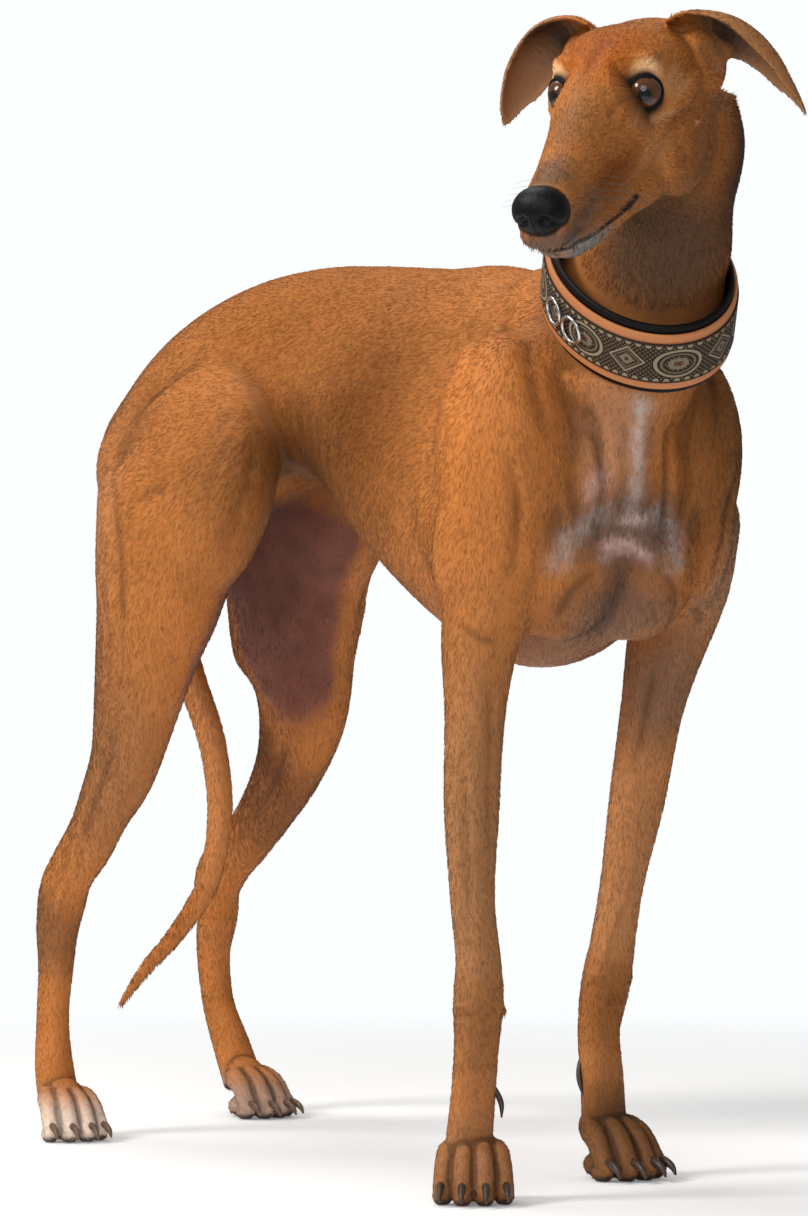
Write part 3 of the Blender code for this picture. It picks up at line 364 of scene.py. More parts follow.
def spineLoft(name, rows, steps=6):
    rows = np.array(rows, float)
    placed = np.column_stack([rows[:, 0], np.zeros((len(rows), 2)), rows[:, 1:]])
    dense = through(placed, steps)
    rings = []
    for x, top, bottom, wide, share, above, below in np.column_stack([dense[:, 0], dense[:, 3:]]):
        middle = bottom + share * (top - bottom)
        rings.append(oval(np.array((x, 0.0, middle)), np.array((0.0, 1.0, 0.0)), np.array((0.0, 0.0, 1.0)),
                          wide, top - middle, middle - bottom, above, below))
    return loft(name, rings)


def pathLoft(name, rows, steps=6):
    dense = through(rows, steps)
    tangents = np.gradient(dense[:, :3], axis=0)
    rings = []
    for i, row in enumerate(dense):
        turn = math.radians(row[6]) if len(row) > 6 else 0.0
        side = np.array((-math.sin(turn), math.cos(turn), 0.0))
        ahead = unit(tangents[i])
        up = unit(np.cross(ahead, side))
        rings.append(oval(row[:3], np.cross(up, ahead), up, row[3], row[4], row[5]))
    return loft(name, rings)


def sphere(name, across=36, rows=24):
    work = bmesh.new()
    bmesh.ops.create_uvsphere(work, u_segments=across, v_segments=rows, radius=1.0)
    return fromWork(name, work)


def mass(name, at, size, turns):
    made = sphere(name)
    made.data.transform(Matrix.Translation(at) @ turnBy(*turns) @ Matrix.Diagonal((*size, 1.0)))
    return made


def mirroredMasses(table):
    # each mass on both sides of the middle plane
    for name, at, size, turns in table:
        for sign in (1, -1):
            yield mass(f"{name}{sign}", (at[0], sign * at[1], at[2]), size,
                       (sign * turns[0], turns[1], sign * turns[2]))


def headMatrix():
    turn = turnBy(headForm["roll"], headForm["pitch"], headForm["yaw"])
    return Matrix.Translation(headForm["at"]) @ turn @ Matrix.Diagonal((headForm["scale"],) * 3 + (1.0,))


headPlace = headMatrix()
headBack = np.array(headPlace.inverted())


def fromHead(points):
    # points of the head's frame in the drawing's frame
    return carried(points, headPlace)


def toHead(points):
    return carried(points, headBack)


def earLine(sign):
    # rows of the ear's midline in the drawing's frame, with radius, half angle and hollow side
    level = np.array(Matrix.Rotation(math.radians(headForm["yaw"]), 3, "Z"))
    root = fromHead([(earForm["root"][0], sign * earForm["root"][1], earForm["root"][2])])[0]
    rows = []
    for step, radius, angle, hollow in earForm["rows"]:
        rows.append((step[0], sign * step[1], step[2], radius, angle, hollow[0], sign * hollow[1], hollow[2]))
    dense = through(rows, 6)
    tangents = np.gradient(dense[:, :3], axis=0)
    return dense, tangents, level, root


def earLeaf(name, sign):
    # a thin leaf, bent round the ear's midline
    dense, tangents, level, root = earLine(sign)
    outer, inner = [], []
    for i, row in enumerate(dense):
        ahead = unit(tangents[i])
        hollow = unit(row[5:8] - ahead * (row[5:8] @ ahead))
        wide = np.cross(ahead, hollow) * sign
        angles = np.radians(row[4]) * np.linspace(-1, 1, 17)
        thick = earForm["thick"] * (1 - 0.3 * i / len(dense))
        middle = row[:3] + hollow * row[3]
        for radius, line in ((row[3] + thick / 2, outer), (row[3] - thick / 2, inner)):
            points = middle - np.outer(np.cos(angles), hollow) * radius
            points = points + np.outer(np.sin(angles), wide) * radius
            line.append(points @ level.T + root)
    return loft(name, [np.concatenate([a, b[::-1]]) for a, b in zip(outer, inner)])


def headClay():
    pieces = [spineLoft("skull", headForm["skull"]), spineLoft("jaw", headForm["jaw"])]
    pieces += list(mirroredMasses(headForm["masses"]))
    for piece in pieces:
        piece.data.transform(headPlace)
    return pieces


def pawMatrix(at, heading, scale):
    # from a paw's own frame to the drawing's
    place = Matrix.Translation((at[0], at[1], 0.0)) @ Matrix.Rotation(math.radians(heading), 4, "Z")
    return place @ Matrix.Diagonal((scale, scale, scale, 1.0))


def pawClay(name):
    # four arched toes on their pads, in front of the foot's root
    pieces = []
    for i, (across, ahead, splay) in enumerate(toeForm):
        toe = (
            (-0.016, 0.45 * across, 0.041, 0.0085, 0.01, 0.012),
            (0.002 + ahead, 0.85 * across, 0.04, 0.0086, 0.0085, 0.012),
            (0.016 + ahead, 1.0 * across, 0.032, 0.0084, 0.009, 0.012),
            (0.026 + ahead, 1.08 * across, 0.019, 0.0082, 0.0085, 0.01),
            (0.034 + ahead, 1.14 * across, 0.0105, 0.007, 0.007, 0.008),
            (0.04 + ahead, 1.17 * across, 0.008, 0.0035, 0.0035, 0.004),
        )
        pieces.append(pathLoft(f"{name}Toe{i}", toe, 4))
        pieces.append(mass(f"{name}Pad{i}", (0.026 + ahead, 1.1 * across, 0.007), (0.012, 0.0082, 0.0085),
                           (0, 0, splay)))
    pieces.append(mass(f"{name}Heel", (-0.008, 0.0, 0.01), (0.017, 0.019, 0.012), (0, 0, 0)))
    pieces.append(mass(f"{name}Instep", (-0.01, 0.0, 0.038), (0.021, 0.0205, 0.019), (0, 35, 0)))
    for piece in pieces:
        piece.data.transform(pawMatrix(*pawForm[name]))
    return pieces


def legClay():
    # the four legs with their paws
    pieces = []
    for name in pawForm:
        pieces.append(pathLoft(name, bodyForm[name]))
        pieces += pawClay(name)
    return pieces


def bodyClay():
    pieces = [spineLoft("trunk", bodyForm["trunk"]), pathLoft("neck", bodyForm["neck"]),
              pathLoft("tail", bodyForm["tail"])]
    return pieces + list(mirroredMasses(bodyForm["masses"])) + legClay()


def fuse(name, pieces, grain):
    # one skin round all the clay pieces
    made = joined(name, pieces)
    remesh = made.modifiers.new("skin", "REMESH")
    remesh.mode = "VOXEL"
    remesh.voxel_size = grain
    graph = bpy.context.evaluated_depsgraph_get()
    made.data = bpy.data.meshes.new_from_object(made.evaluated_get(graph))
    made.modifiers.clear()
    return made


def pointsOf(mesh):
    return readAll(mesh.vertices, "co", 3).astype(float)


def setPoints(mesh, points):
    mesh.vertices.foreach_set("co", points.astype(np.float32).ravel())
    mesh.update()


def normalsOf(mesh):
    return readAll(mesh.vertex_normals, "vector", 3).astype(float)


def edgesOf(mesh):
    return readAll(mesh.edges, "vertices", 2, np.int32).T


def aroundSum(a, b, values, count):
    # the sum of the values at the other ends of each point's edges
    return np.stack(
        [np.bincount(a, values[b, k], count) + np.bincount(b, values[a, k], count) for k in range(3)], 1)


def aroundCount(a, b, count):
    return np.maximum(np.bincount(a, minlength=count) + np.bincount(b, minlength=count), 1)[:, None]


def relax(mesh, strength, rounds, swell=-0.5):
    # smooths by the given strength at each point, with little loss of volume
    points = pointsOf(mesh)
    a, b = edgesOf(mesh)
    degree = aroundCount(a, b, len(points))
    for turn in range(rounds):
        factor = 0.6 if turn % 2 == 0 else swell
        total = aroundSum(a, b, points, len(points))
        points += factor * strength[:, None] * (total / degree - points)
    setPoints(mesh, points)


def ramp(value, low, high):
    t = np.clip((value - low) / (high - low), 0.0, 1.0)
    return t * t * (3 - 2 * t)


def hashed(cells):
    # a steady number from 0 to 1 for each cell of a lattice
    n = cells[..., 0] * 374761393 + cells[..., 1] * 668265263 + cells[..., 2] * 2147483647
    n = (n ^ (n >> 13)) * 1274126177 & 0x7FFFFFFF
    return (n ^ (n >> 16)) % 65536 / 65536.0


def wander(points, size):
    # smooth random values from -1 to 1 over the given length
    scaled = points / size
    base = np.floor(scaled).astype(np.int64)
    part = scaled - base
    part = part * part * (3 - 2 * part)
    total = np.zeros(len(points))
    for corner in range(8):
        step = np.array((corner & 1, corner >> 1 & 1, corner >> 2 & 1))
        weight = np.prod(np.where(step, part, 1 - part), axis=1)
        total += weight * hashed(base + step)
    return total * 2 - 1


# Ridges and furrows pressed into the skin: half width and height in millimetres, path.
bodyRelief = (
    ("backArm", 10, -4.6, ((0.265, -0.064, 0.64), (0.29, -0.1, 0.605), (0.296, -0.118, 0.565),
                           (0.29, -0.119, 0.526), (0.284, -0.117, 0.489), (0.28, -0.112, 0.453),
                           (0.284, -0.106, 0.42))),
    ("armSwell", 15, 2.4, ((0.335, -0.112, 0.598), (0.34, -0.122, 0.555), (0.33, -0.121, 0.515),
                           (0.322, -0.118, 0.47))),
    ("shoulderFront", 6, -4.0, ((0.384, -0.041, 0.583), (0.387, -0.031, 0.554), (0.39, -0.028, 0.525),
                                (0.385, -0.029, 0.496), (0.38, -0.034, 0.467))),
    ("shoulderFrontLeft", 6, -3.6, ((0.39, 0.036, 0.583), (0.391, 0.029, 0.554), (0.39, 0.028, 0.525),
                                    (0.385, 0.029, 0.496), (0.38, 0.034, 0.467))),
    ("shoulderFold", 5, 1.8, ((0.381, -0.061, 0.53), (0.377, -0.052, 0.496), (0.378, -0.049, 0.467),
                              (0.369, -0.053, 0.438))),
    ("triceps", 6, -3.0, ((0.371, -0.106, 0.554), (0.376, -0.094, 0.51), (0.366, -0.09, 0.467),
                          (0.348, -0.096, 0.438))),
    ("armTop", 8, -2.8, ((0.334, -0.065, 0.636), (0.362, -0.078, 0.605), (0.376, -0.078, 0.576),
                         (0.384, -0.072, 0.547))),
    ("bladeSpine", 7, 3.0, ((0.275, -0.05, 0.668), (0.305, -0.085, 0.625), (0.335, -0.105, 0.59))),
    ("breastBone", 7, 3.0, ((0.408, -0.009, 0.582), (0.396, -0.002, 0.562), (0.392, -0.001, 0.53),
                            (0.389, -0.002, 0.505))),
    ("pectoralFold", 6, -3.2, ((0.35, -0.052, 0.416), (0.374, -0.045, 0.445), (0.382, -0.02, 0.466))),
    ("pectoralFoldLeft", 6, -3.0, ((0.35, 0.06, 0.416), (0.372, 0.048, 0.445), (0.38, 0.022, 0.466))),
    ("elbowFold", 5, -2.4, ((0.314, -0.113, 0.424), (0.339, -0.103, 0.409), (0.343, -0.08, 0.405))),
    ("foreLeftTop", 5, -2.8, ((0.3, 0.087, 0.409), (0.282, 0.085, 0.371), (0.269, 0.085, 0.333),
                              (0.259, 0.084, 0.295))),
    ("foreLeftEdge", 5, 1.4, ((0.318, 0.095, 0.424), (0.296, 0.103, 0.386), (0.278, 0.101, 0.341))),
    ("foreRightGroove", 4, -1.8, ((0.341, -0.096, 0.395), (0.341, -0.094, 0.351), (0.343, -0.097, 0.293),
                                  (0.341, -0.096, 0.235))),
    ("foreRightFront", 4, -1.5, ((0.328, -0.113, 0.365), (0.338, -0.115, 0.293), (0.339, -0.113, 0.22),
                                 (0.342, -0.115, 0.162))),
    ("hamstring", 9, -3.0, ((-0.214, -0.095, 0.56), (-0.16, -0.129, 0.52), (-0.14, -0.132, 0.47),
                            (-0.14, -0.125, 0.423), (-0.15, -0.118, 0.376))),
    ("thighFront", 10, -3.2, ((-0.028, -0.071, 0.58), (-0.025, -0.083, 0.541), (-0.033, -0.092, 0.502),
                              (-0.064, -0.09, 0.455))),
    ("thighEdge", 8, -2.4, ((-0.246, -0.081, 0.578), (-0.215, -0.11, 0.54), (-0.205, -0.124, 0.49),
                            (-0.205, -0.124, 0.439))),
    ("achilles", 5, -3.0, ((-0.15, -0.123, 0.344), (-0.185, -0.123, 0.303), (-0.222, -0.12, 0.262),
                           (-0.252, -0.118, 0.229))),
    ("hockVein", 2.6, 1.6, ((-0.216, -0.123, 0.278), (-0.249, -0.119, 0.237), (-0.259, -0.117, 0.212),
                            (-0.287, -0.119, 0.174), (-0.305, -0.119, 0.145))),
    ("thighVein", 2.8, 1.1, ((-0.195, -0.128, 0.471), (-0.166, -0.135, 0.423), (-0.175, -0.131, 0.359))),
    ("gaskinLeft", 5, -2.4, ((-0.217, 0.077, 0.341), (-0.276, 0.088, 0.29), (-0.338, 0.1, 0.246))),
    ("foreVein", 2.4, 1.5, ((0.262, 0.09, 0.295), (0.244, 0.093, 0.226), (0.232, 0.083, 0.188),
                            (0.221, 0.072, 0.135))),
    ("wristRight", 9, 2.2, ((0.338, -0.118, 0.148), (0.34, -0.119, 0.136))),
    ("wristRightInner", 8, 2.4, ((0.345, -0.088, 0.146), (0.346, -0.088, 0.134))),
    ("wristRightFold", 3, -1.6, ((0.352, -0.112, 0.122), (0.354, -0.1, 0.121), (0.352, -0.09, 0.124))),
    ("wristRightOver", 4, -1.0, ((0.35, -0.112, 0.16), (0.352, -0.1, 0.162), (0.35, -0.09, 0.16))),
    ("wristLeft", 8, 2.0, ((0.226, 0.098, 0.16), (0.228, 0.098, 0.146))),
    ("wristLeftInner", 8, 2.0, ((0.222, 0.07, 0.16), (0.222, 0.07, 0.146))),
    ("wristLeftFold", 3, -1.4, ((0.236, 0.078, 0.132), (0.24, 0.086, 0.131), (0.236, 0.096, 0.133))),
    ("flankFold", 7, -2.0, ((-0.075, -0.06, 0.5), (-0.11, -0.085, 0.515), (-0.135, -0.105, 0.505))),
)
# The same on the left, which the photo hides: names of the forms above, mirrored.
mirrored = ("backArm", "armSwell", "shoulderFold", "triceps", "armTop", "bladeSpine", "elbowFold", "hamstring",
            "thighFront",
            "thighEdge", "thighVein")
# Ribs: x at the top, lean back, depth along the rib; pressed in on both sides.
ribForm = {"first": 0.175, "last": -0.06, "count": 10, "top": 0.655, "low": 0.455, "lean": -0.055, "wide": 5.0,
           "high": 1.1}
headRelief = (
    ("cheekCrease", 2.4, -1.2, ((-0.0498, 0.0505, -0.0434), (-0.0488, 0.0499, -0.056),
                                (-0.0376, 0.0472, -0.0655), (-0.0267, 0.0419, -0.0736))),
    ("muzzleVein", 1.8, 0.7, ((-0.0266, 0.0464, -0.0317), (0.0028, 0.0351, -0.0364), (0.0142, 0.0327, -0.0349),
                              (0.0257, 0.0296, -0.0368))),
    ("templeVein", 1.8, 0.6, ((-0.0266, 0.0464, -0.0317), (-0.0137, 0.0424, -0.0403),
                              (-0.004, 0.0356, -0.0502))),
    ("cheekHollow", 9, -1.0, ((-0.0201, 0.0452, -0.0504), (-0.004, 0.04, -0.05))),
    ("underEye", 3.0, -0.9, ((0.0262, 0.029, -0.012), (0.013, 0.0375, -0.0165), (-0.004, 0.0445, -0.015))),
    ("innerCorner", 2.6, -1.2, ((0.0273, 0.0251, 0.0019), (0.034, 0.02, 0.001), (0.042, 0.018, -0.002))),
    ("brow", 3.6, 1.4, ((0.011, 0.023, 0.019), (-0.002, 0.032, 0.019), (-0.015, 0.04, 0.014))),
    ("foreheadFurrow", 5, -1.0, ((0.025, 0.0, 0.0175), (0.006, 0.0, 0.0262), (-0.015, 0.0, 0.032))),
    ("upperLip", 3.6, 0.9, ((0.04, 0.0235, -0.056), (0.065, 0.019, -0.056), (0.09, 0.0175, -0.052),
                            (0.106, 0.015, -0.047))),
    ("whiskerPad", 6, 0.9, ((0.086, 0.019, -0.044), (0.1, 0.019, -0.04))),
    ("zygoma", 4.5, 1.2, ((-0.01, 0.044, -0.02), (-0.028, 0.048, -0.016), (-0.045, 0.05, -0.012))),
)
wartForm = {"at": (-0.0337, 0.0486, -0.0363), "wide": 1.7, "high": 1.6, "colour": (0.52, 0.27, 0.15)}
eyeForm = {
    "at": (-0.004, 0.0285, -0.0006),
    "radius": 0.012,
    "outward": 42.0,
    # opening of the lids: way that it faces, outward and up, then its reach in degrees all round,
    # from the outer corner over the upper lid to the inner corner and back under
    "facing": (-10.0, 17.0),
    "opening": ((0, 58), (30, 55), (60, 51), (90, 50), (120, 52), (150, 56), (180, 64), (200, 74), (212, 72),
                (235, 62),
                (270, 60), (300, 60), (330, 60), (360, 58)),
    "lid": 0.0013,
    "gazeOut": 23.0,
    "gazeUp": 9.0,
}
mouthForm = {
    "line": ((0.095, -0.06), (0.08, -0.0615), (0.065, -0.0625), (0.05, -0.0625), (0.031, -0.061)),
    "front": (0.1, -0.0575),
    "turns": (-62, -38, -14, 14, 38, 62),
    "wide": 1.0,
    "deep": 2.2,
}


def skinTree(mesh):
    return BVHTree.FromPolygons([v.co for v in mesh.vertices], [p.vertices for p in mesh.polygons])


def onSkin(tree, point):
    return np.array(tuple(tree.find_nearest(Vector(point))[0]))


def snapped(tree, path, steps=10):
    # a close row of points on the skin along the path
    path = np.array(path, float)
    at = np.linspace(0, len(path) - 1, (len(path) - 1) * steps + 1)
    dense = np.stack([np.interp(at, np.arange(len(path)), path[:, k]) for k in range(3)], 1)
    for _ in range(3):
        dense[1:-1] = (dense[:-2] + 2 * dense[1:-1] + dense[2:]) / 4
    return np.array([onSkin(tree, p) for p in dense])


def nearPath(points, path, reach):
    # points within reach of the path, their distance from it and how far along it they are
    low, high = path.min(axis=0) - reach, path.max(axis=0) + reach
    near = np.flatnonzero(((points > low) & (points < high)).all(axis=1))
    best = np.full(len(near), 9.0)
    share = np.zeros(len(near))
    for i in range(len(path) - 1):
        a, d = path[i], path[i + 1] - path[i]
        t = np.clip((points[near] - a) @ d / max(d @ d, 1e-12), 0, 1)
        gap = np.linalg.norm(points[near] - a - t[:, None] * d, axis=1)
        closer = gap < best
        best = np.where(closer, gap, best)
        share = np.where(closer, (i + t) / (len(path) - 1), share)
    keep = best < reach
    return near[keep], best[keep], share[keep]


def press(points, normals, path, wide, high):
    # a soft ridge or furrow along the path, fading out at both ends
    wide, high = wide / 1000, high / 1000
    near, gap, share = nearPath(points, path, wide * 3)
    fade = np.minimum(ramp(share, 0.0, 0.35), ramp(1 - share, 0.0, 0.35))
    points[near] += normals[near] * (high * np.exp(-(gap / wide) ** 2) * fade)[:, None]


def carve(mesh, strokes):
    tree = skinTree(mesh)
    points, normals = pointsOf(mesh), normalsOf(mesh)
    for path, wide, high in strokes:
        press(points, normals, snapped(tree, path), wide, high)
    setPoints(mesh, points)


def eyeSpot(sign):
    # the middle of an eyeball in the head's frame, placed in the drawing's
    x, y, z = eyeForm["at"]
    return headPlace @ Matrix.Translation((x, sign * y, z))


def eyeMatrix(sign):
    return eyeSpot(sign) @ Matrix.Rotation(math.radians(sign * eyeForm["outward"]), 4, "Z")


def lidGap(local, sign):
    # angle in degrees from the edge of the eye's opening, inside it below zero
    out, up = math.radians(eyeForm["facing"][0]), math.radians(eyeForm["facing"][1])
    axis = np.array((math.cos(out) * math.cos(up), math.sin(out) * math.cos(up), math.sin(up)))
    side = unit(np.cross((0.0, 0.0, 1.0), axis))
    over = np.cross(axis, side)
    way = local * (1.0, sign, 1.0)
    way = way / np.maximum(np.linalg.norm(way, axis=1), 1e-9)[:, None]
    away = np.degrees(np.arccos(np.clip(way @ axis, -1, 1)))
    turn = np.degrees(np.arctan2(way @ over, way @ side)) % 360
    rows = np.array(eyeForm["opening"], float)
    return away - np.interp(turn, rows[:, 0], rows[:, 1])


def openEye(mesh, sign):
    # sinks the skin behind the eyeball inside the lids and lays the lids on the ball
    matrix = eyeMatrix(sign)
    points = pointsOf(mesh)
    local = carried(points, np.linalg.inv(np.array(matrix)))
    radius = eyeForm["radius"]
    away = np.linalg.norm(local, axis=1)
    near = np.flatnonzero(away < 2.6 * radius)
    gap = lidGap(local[near], sign)
    old = away[near]
    # distance from the ball's middle: behind the ball, at the lid's inner edge and on the lid
    inner, edge, rim = radius * 0.86, radius - 0.0002, radius + eyeForm["lid"]
    target = np.where(gap < 0, inner + (edge - inner) * ramp(gap, -7, 0), edge + (rim - edge) * ramp(gap, 0, 6))
    target = np.where(gap > 6, rim - 0.0003 * ramp(gap, 6, 16), target)
    blend = ramp(gap, 8, 30)
    fresh = target * (1 - blend) + old * blend
    local[near] *= (fresh / old)[:, None]
    points[near] = carried(local[near], matrix)
    setPoints(mesh, points)


def refine(mesh, centres, reach):
    # finer faces round small places
    work = opened(mesh)
    edges = [e for e in work.edges if any((e.verts[0].co - c).length < reach for c in centres)]
    bmesh.ops.subdivide_edges(work, edges=edges, cuts=2, use_grid_fill=True)
    bmesh.ops.triangulate(work, faces=[f for f in work.faces if len(f.verts) > 4])
    closed(work, mesh)


def mouthPath(mesh):
    # the line of the mouth laid on both sides of the skin and round the front of the lips
    tree = skinTree(mesh)
    path = []
    for sign, row in ((-1, mouthForm["line"][::-1]), (1, mouthForm["line"])):
        for x, z in row:
            start = headPlace @ Vector((x, 0.0, z))
            outward = headPlace.to_3x3() @ Vector((0.0, sign, 0.0))
            path.append(tuple(tree.ray_cast(start, outward.normalized())[0]))
        for turn in mouthForm["turns"] if sign < 0 else ():
            angle = math.radians(turn)
            ahead = headPlace.to_3x3() @ Vector((math.cos(angle), math.sin(angle), 0.0))
            start = headPlace @ Vector((mouthForm["front"][0], 0.0, mouthForm["front"][1]))
            path.append(tuple(tree.ray_cast(start, ahead.normalized())[0]))
    return np.array(path)


# The collar's ring, by which head and body skins are parted out of sight.
collarForm = {
    "at": (0.39, 0.002, 0.664),
    "facing": (0.6, -0.31, 0.74),
    "radii": (0.059, 0.078),
    "tucked": 0.0015,
}


def collarSpan(points):
    # distance along the neck from the collar's middle, out from its axis, and its outline there
    facing = unit(np.array(collarForm["facing"]))
    side = np.array((0.0, 1.0, 0.0))
    side = unit(side - facing * (side @ facing))
    down = np.cross(facing, side)
    off = points - np.array(collarForm["at"])
    along, a, b = off @ facing, off @ side, off @ down
    away = np.hypot(a, b)
    turn = np.arctan2(b / collarForm["radii"][1], a / collarForm["radii"][0])
    edge = np.hypot(collarForm["radii"][0] * np.cos(turn), collarForm["radii"][1] * np.sin(turn))
    return along, away, edge, np.outer(a, side) + np.outer(b, down), turn


def tuckUnderCollar(mesh):
    points = pointsOf(mesh)
    along, away, edge, out, _ = collarSpan(points)
    limit = edge - collarForm["tucked"] + 0.03 * ramp(np.abs(along), 0.03, 0.046)
    over = away - limit
    near = (np.abs(along) < 0.046) & (over > 0) & (away < edge + 0.03)
    left = over[near] * ramp(away[near] - edge[near], 0.009, 0.026)
    factor = (limit[near] + left) / away[near] - 1
    points[near] += out[near] * factor[:, None]
    setPoints(mesh, points)


def keepSide(mesh, sign, over):
    # drops the faces past the collar's middle, where the collar hides the edge
    work = opened(mesh)
    along = collarSpan(np.array([v.co for v in work.verts]))[0]
    work.verts.ensure_lookup_table()
    gone = [work.verts[i] for i in np.flatnonzero(sign * along < -over)]
    bmesh.ops.delete(work, geom=gone, context="VERTS")
    closed(work, mesh)


def bodySoftness(points):
    # how much each place is smoothed: less towards the feet and on the tail
    x, y, z = points.T
    soft = np.clip((z - 0.2) / 0.2, 0.12, 1.0)
    tail = (x < -0.24) & (np.abs(y - 0.01) < 0.03) & (z < 0.55)
    return np.where(tail, 0.3, soft)


def cutAt(mesh, height, below):
    work = opened(mesh)
    gone = [v for v in work.verts if (v.co.z < height) == below]
    bmesh.ops.delete(work, geom=gone, context="VERTS")
    closed(work, mesh)


def layFlat(mesh):
    # nothing reaches under the floor
    points = pointsOf(mesh)
    points[:, 2] = np.maximum(points[:, 2], 0.0)
    setPoints(mesh, points)
    return points


def makePawSkin():
    # feet and pasterns in a finer grain, tucked under the body's skin at their upper edge
    pieces = legClay()
    for piece in pieces:
        work = opened(piece.data)
        whole = work.verts[:] + work.edges[:] + work.faces[:]
        cut = bmesh.ops.bisect_plane(work, geom=whole, plane_co=(0, 0, clay["pawTop"]), plane_no=(0, 0, 1),
                                     clear_outer=True)
        rim = [e for e in cut["geom_cut"] if isinstance(e, bmesh.types.BMEdge)]
        if rim:
            bmesh.ops.edgeloop_fill(work, edges=rim)
        closed(work, piece.data)
    made = fuse("pawSkin", pieces, clay["pawGrain"])
    mesh = made.data
    relax(mesh, np.full(len(mesh.vertices), 0.5), 40)
    points = layFlat(mesh)
    seam = clay["pawCut"] + clay["pawLap"]
    tuck = 0.0004 * ramp(points[:, 2], clay["pawCut"] - 0.004, seam)
    points -= normalsOf(mesh) * tuck[:, None]
    setPoints(mesh, points)
    cutAt(mesh, seam, False)
    print("paw skin", len(mesh.polygons))
    return made


def makeBodySkin():
    made = fuse("bodySkin", bodyClay(), clay["bodyGrain"])
    mesh = made.data
    rounds = (0.003 / clay["bodyGrain"]) ** 2
    soft = bodySoftness(pointsOf(mesh))
    relax(mesh, np.clip(soft - 0.4, 0.0, 0.6), int(60 * rounds), 0.5)
    relax(mesh, soft, int(50 * rounds) // 2 * 2)
    layFlat(mesh)
    strokes = [(path, wide, high) for _, wide, high, path in bodyRelief]
    for name, wide, high, path in bodyRelief:
        if name in mirrored:
            strokes.append((np.array(path) * (1, -1, 1), wide, high))
    form = ribForm
    for i in range(form["count"]):
        start = form["first"] + (form["last"] - form["first"]) * i / (form["count"] - 1)
        for sign in (1, -1):
            path = []
            for t in np.linspace(0.0, 1.0 - 0.04 * i, 8):
                out = 0.052 + 0.06 * math.sin(math.pi * min(1, t * 0.8 + 0.1))
                high = form["top"] + (form["low"] - form["top"]) * t - 0.04 * (i / form["count"]) * (1 - t)
                path.append((start + form["lean"] * t * 1.6, sign * out, high))
            strokes.append((path, form["wide"], form["high"]))
    carve(mesh, strokes)
    cutAt(mesh, clay["pawCut"], True)
    tuckUnderCollar(mesh)
    keepSide(mesh, -1, 0.008)
    print("body skin", len(mesh.polygons))
    return made


def makeHeadSkin():
    pieces = headClay() + [pathLoft("neck", bodyForm["neck"]), earLeaf("earLeft", 1), earLeaf("earRight", -1)]
    made = fuse("headSkin", pieces, clay["headGrain"])
    mesh = made.data
    points = pointsOf(mesh)
    local = toHead(points)
    ears = ramp(np.linalg.norm(local - np.array((-0.055, 0.0, -0.02)), axis=1), 0.058, 0.075)
    neckShare = ramp(-local[:, 0] - local[:, 2] * 0.4, 0.085, 0.12) * (points[:, 2] < 0.8)
    onEar = ears * (1 - neckShare) * (points[:, 2] > 0.775) * (local[:, 0] < -0.03)
    relax(mesh, np.clip(neckShare, 0, 1) * 0.8, 120, 0.5)
    relax(mesh, 0.85 - 0.62 * onEar, 100)
    local = toHead(pointsOf(mesh))
    cheeks = ramp(-local[:, 0], 0.0, 0.03) * ramp(-local[:, 2], -0.012, 0.01) * (1 - onEar)
    relax(mesh, cheeks, 260)
    mouth = mouthPath(mesh)
    refine(mesh, [eyeMatrix(sign).translation for sign in (1, -1)], 0.0185)
    strokes = []
    for name, wide, high, path in headRelief:
        for sign in (1, -1):
            if name == "foreheadFurrow" and sign < 0:
                continue
            strokes.append((fromHead(np.array(path) * (1, sign, 1)), wide, high))
    carve(mesh, strokes)
    tree = skinTree(mesh)
    points, normals = pointsOf(mesh), normalsOf(mesh)
    press(points, normals, snapped(tree, mouth, 4), mouthForm["wide"], -mouthForm["deep"])
    wart = onSkin(tree, fromHead([wartForm["at"]])[0])
    gap = np.linalg.norm(points - wart, axis=1) / (wartForm["wide"] / 1000)
    points += normals * (wartForm["high"] / 1000 * np.exp(-gap**2))[:, None]
    setPoints(mesh, points)
    for sign in (1, -1):
        openEye(mesh, sign)
    tuckUnderCollar(mesh)
    keepSide(mesh, 1, 0.008)
    print("head skin", len(mesh.polygons))
    return made, mouth


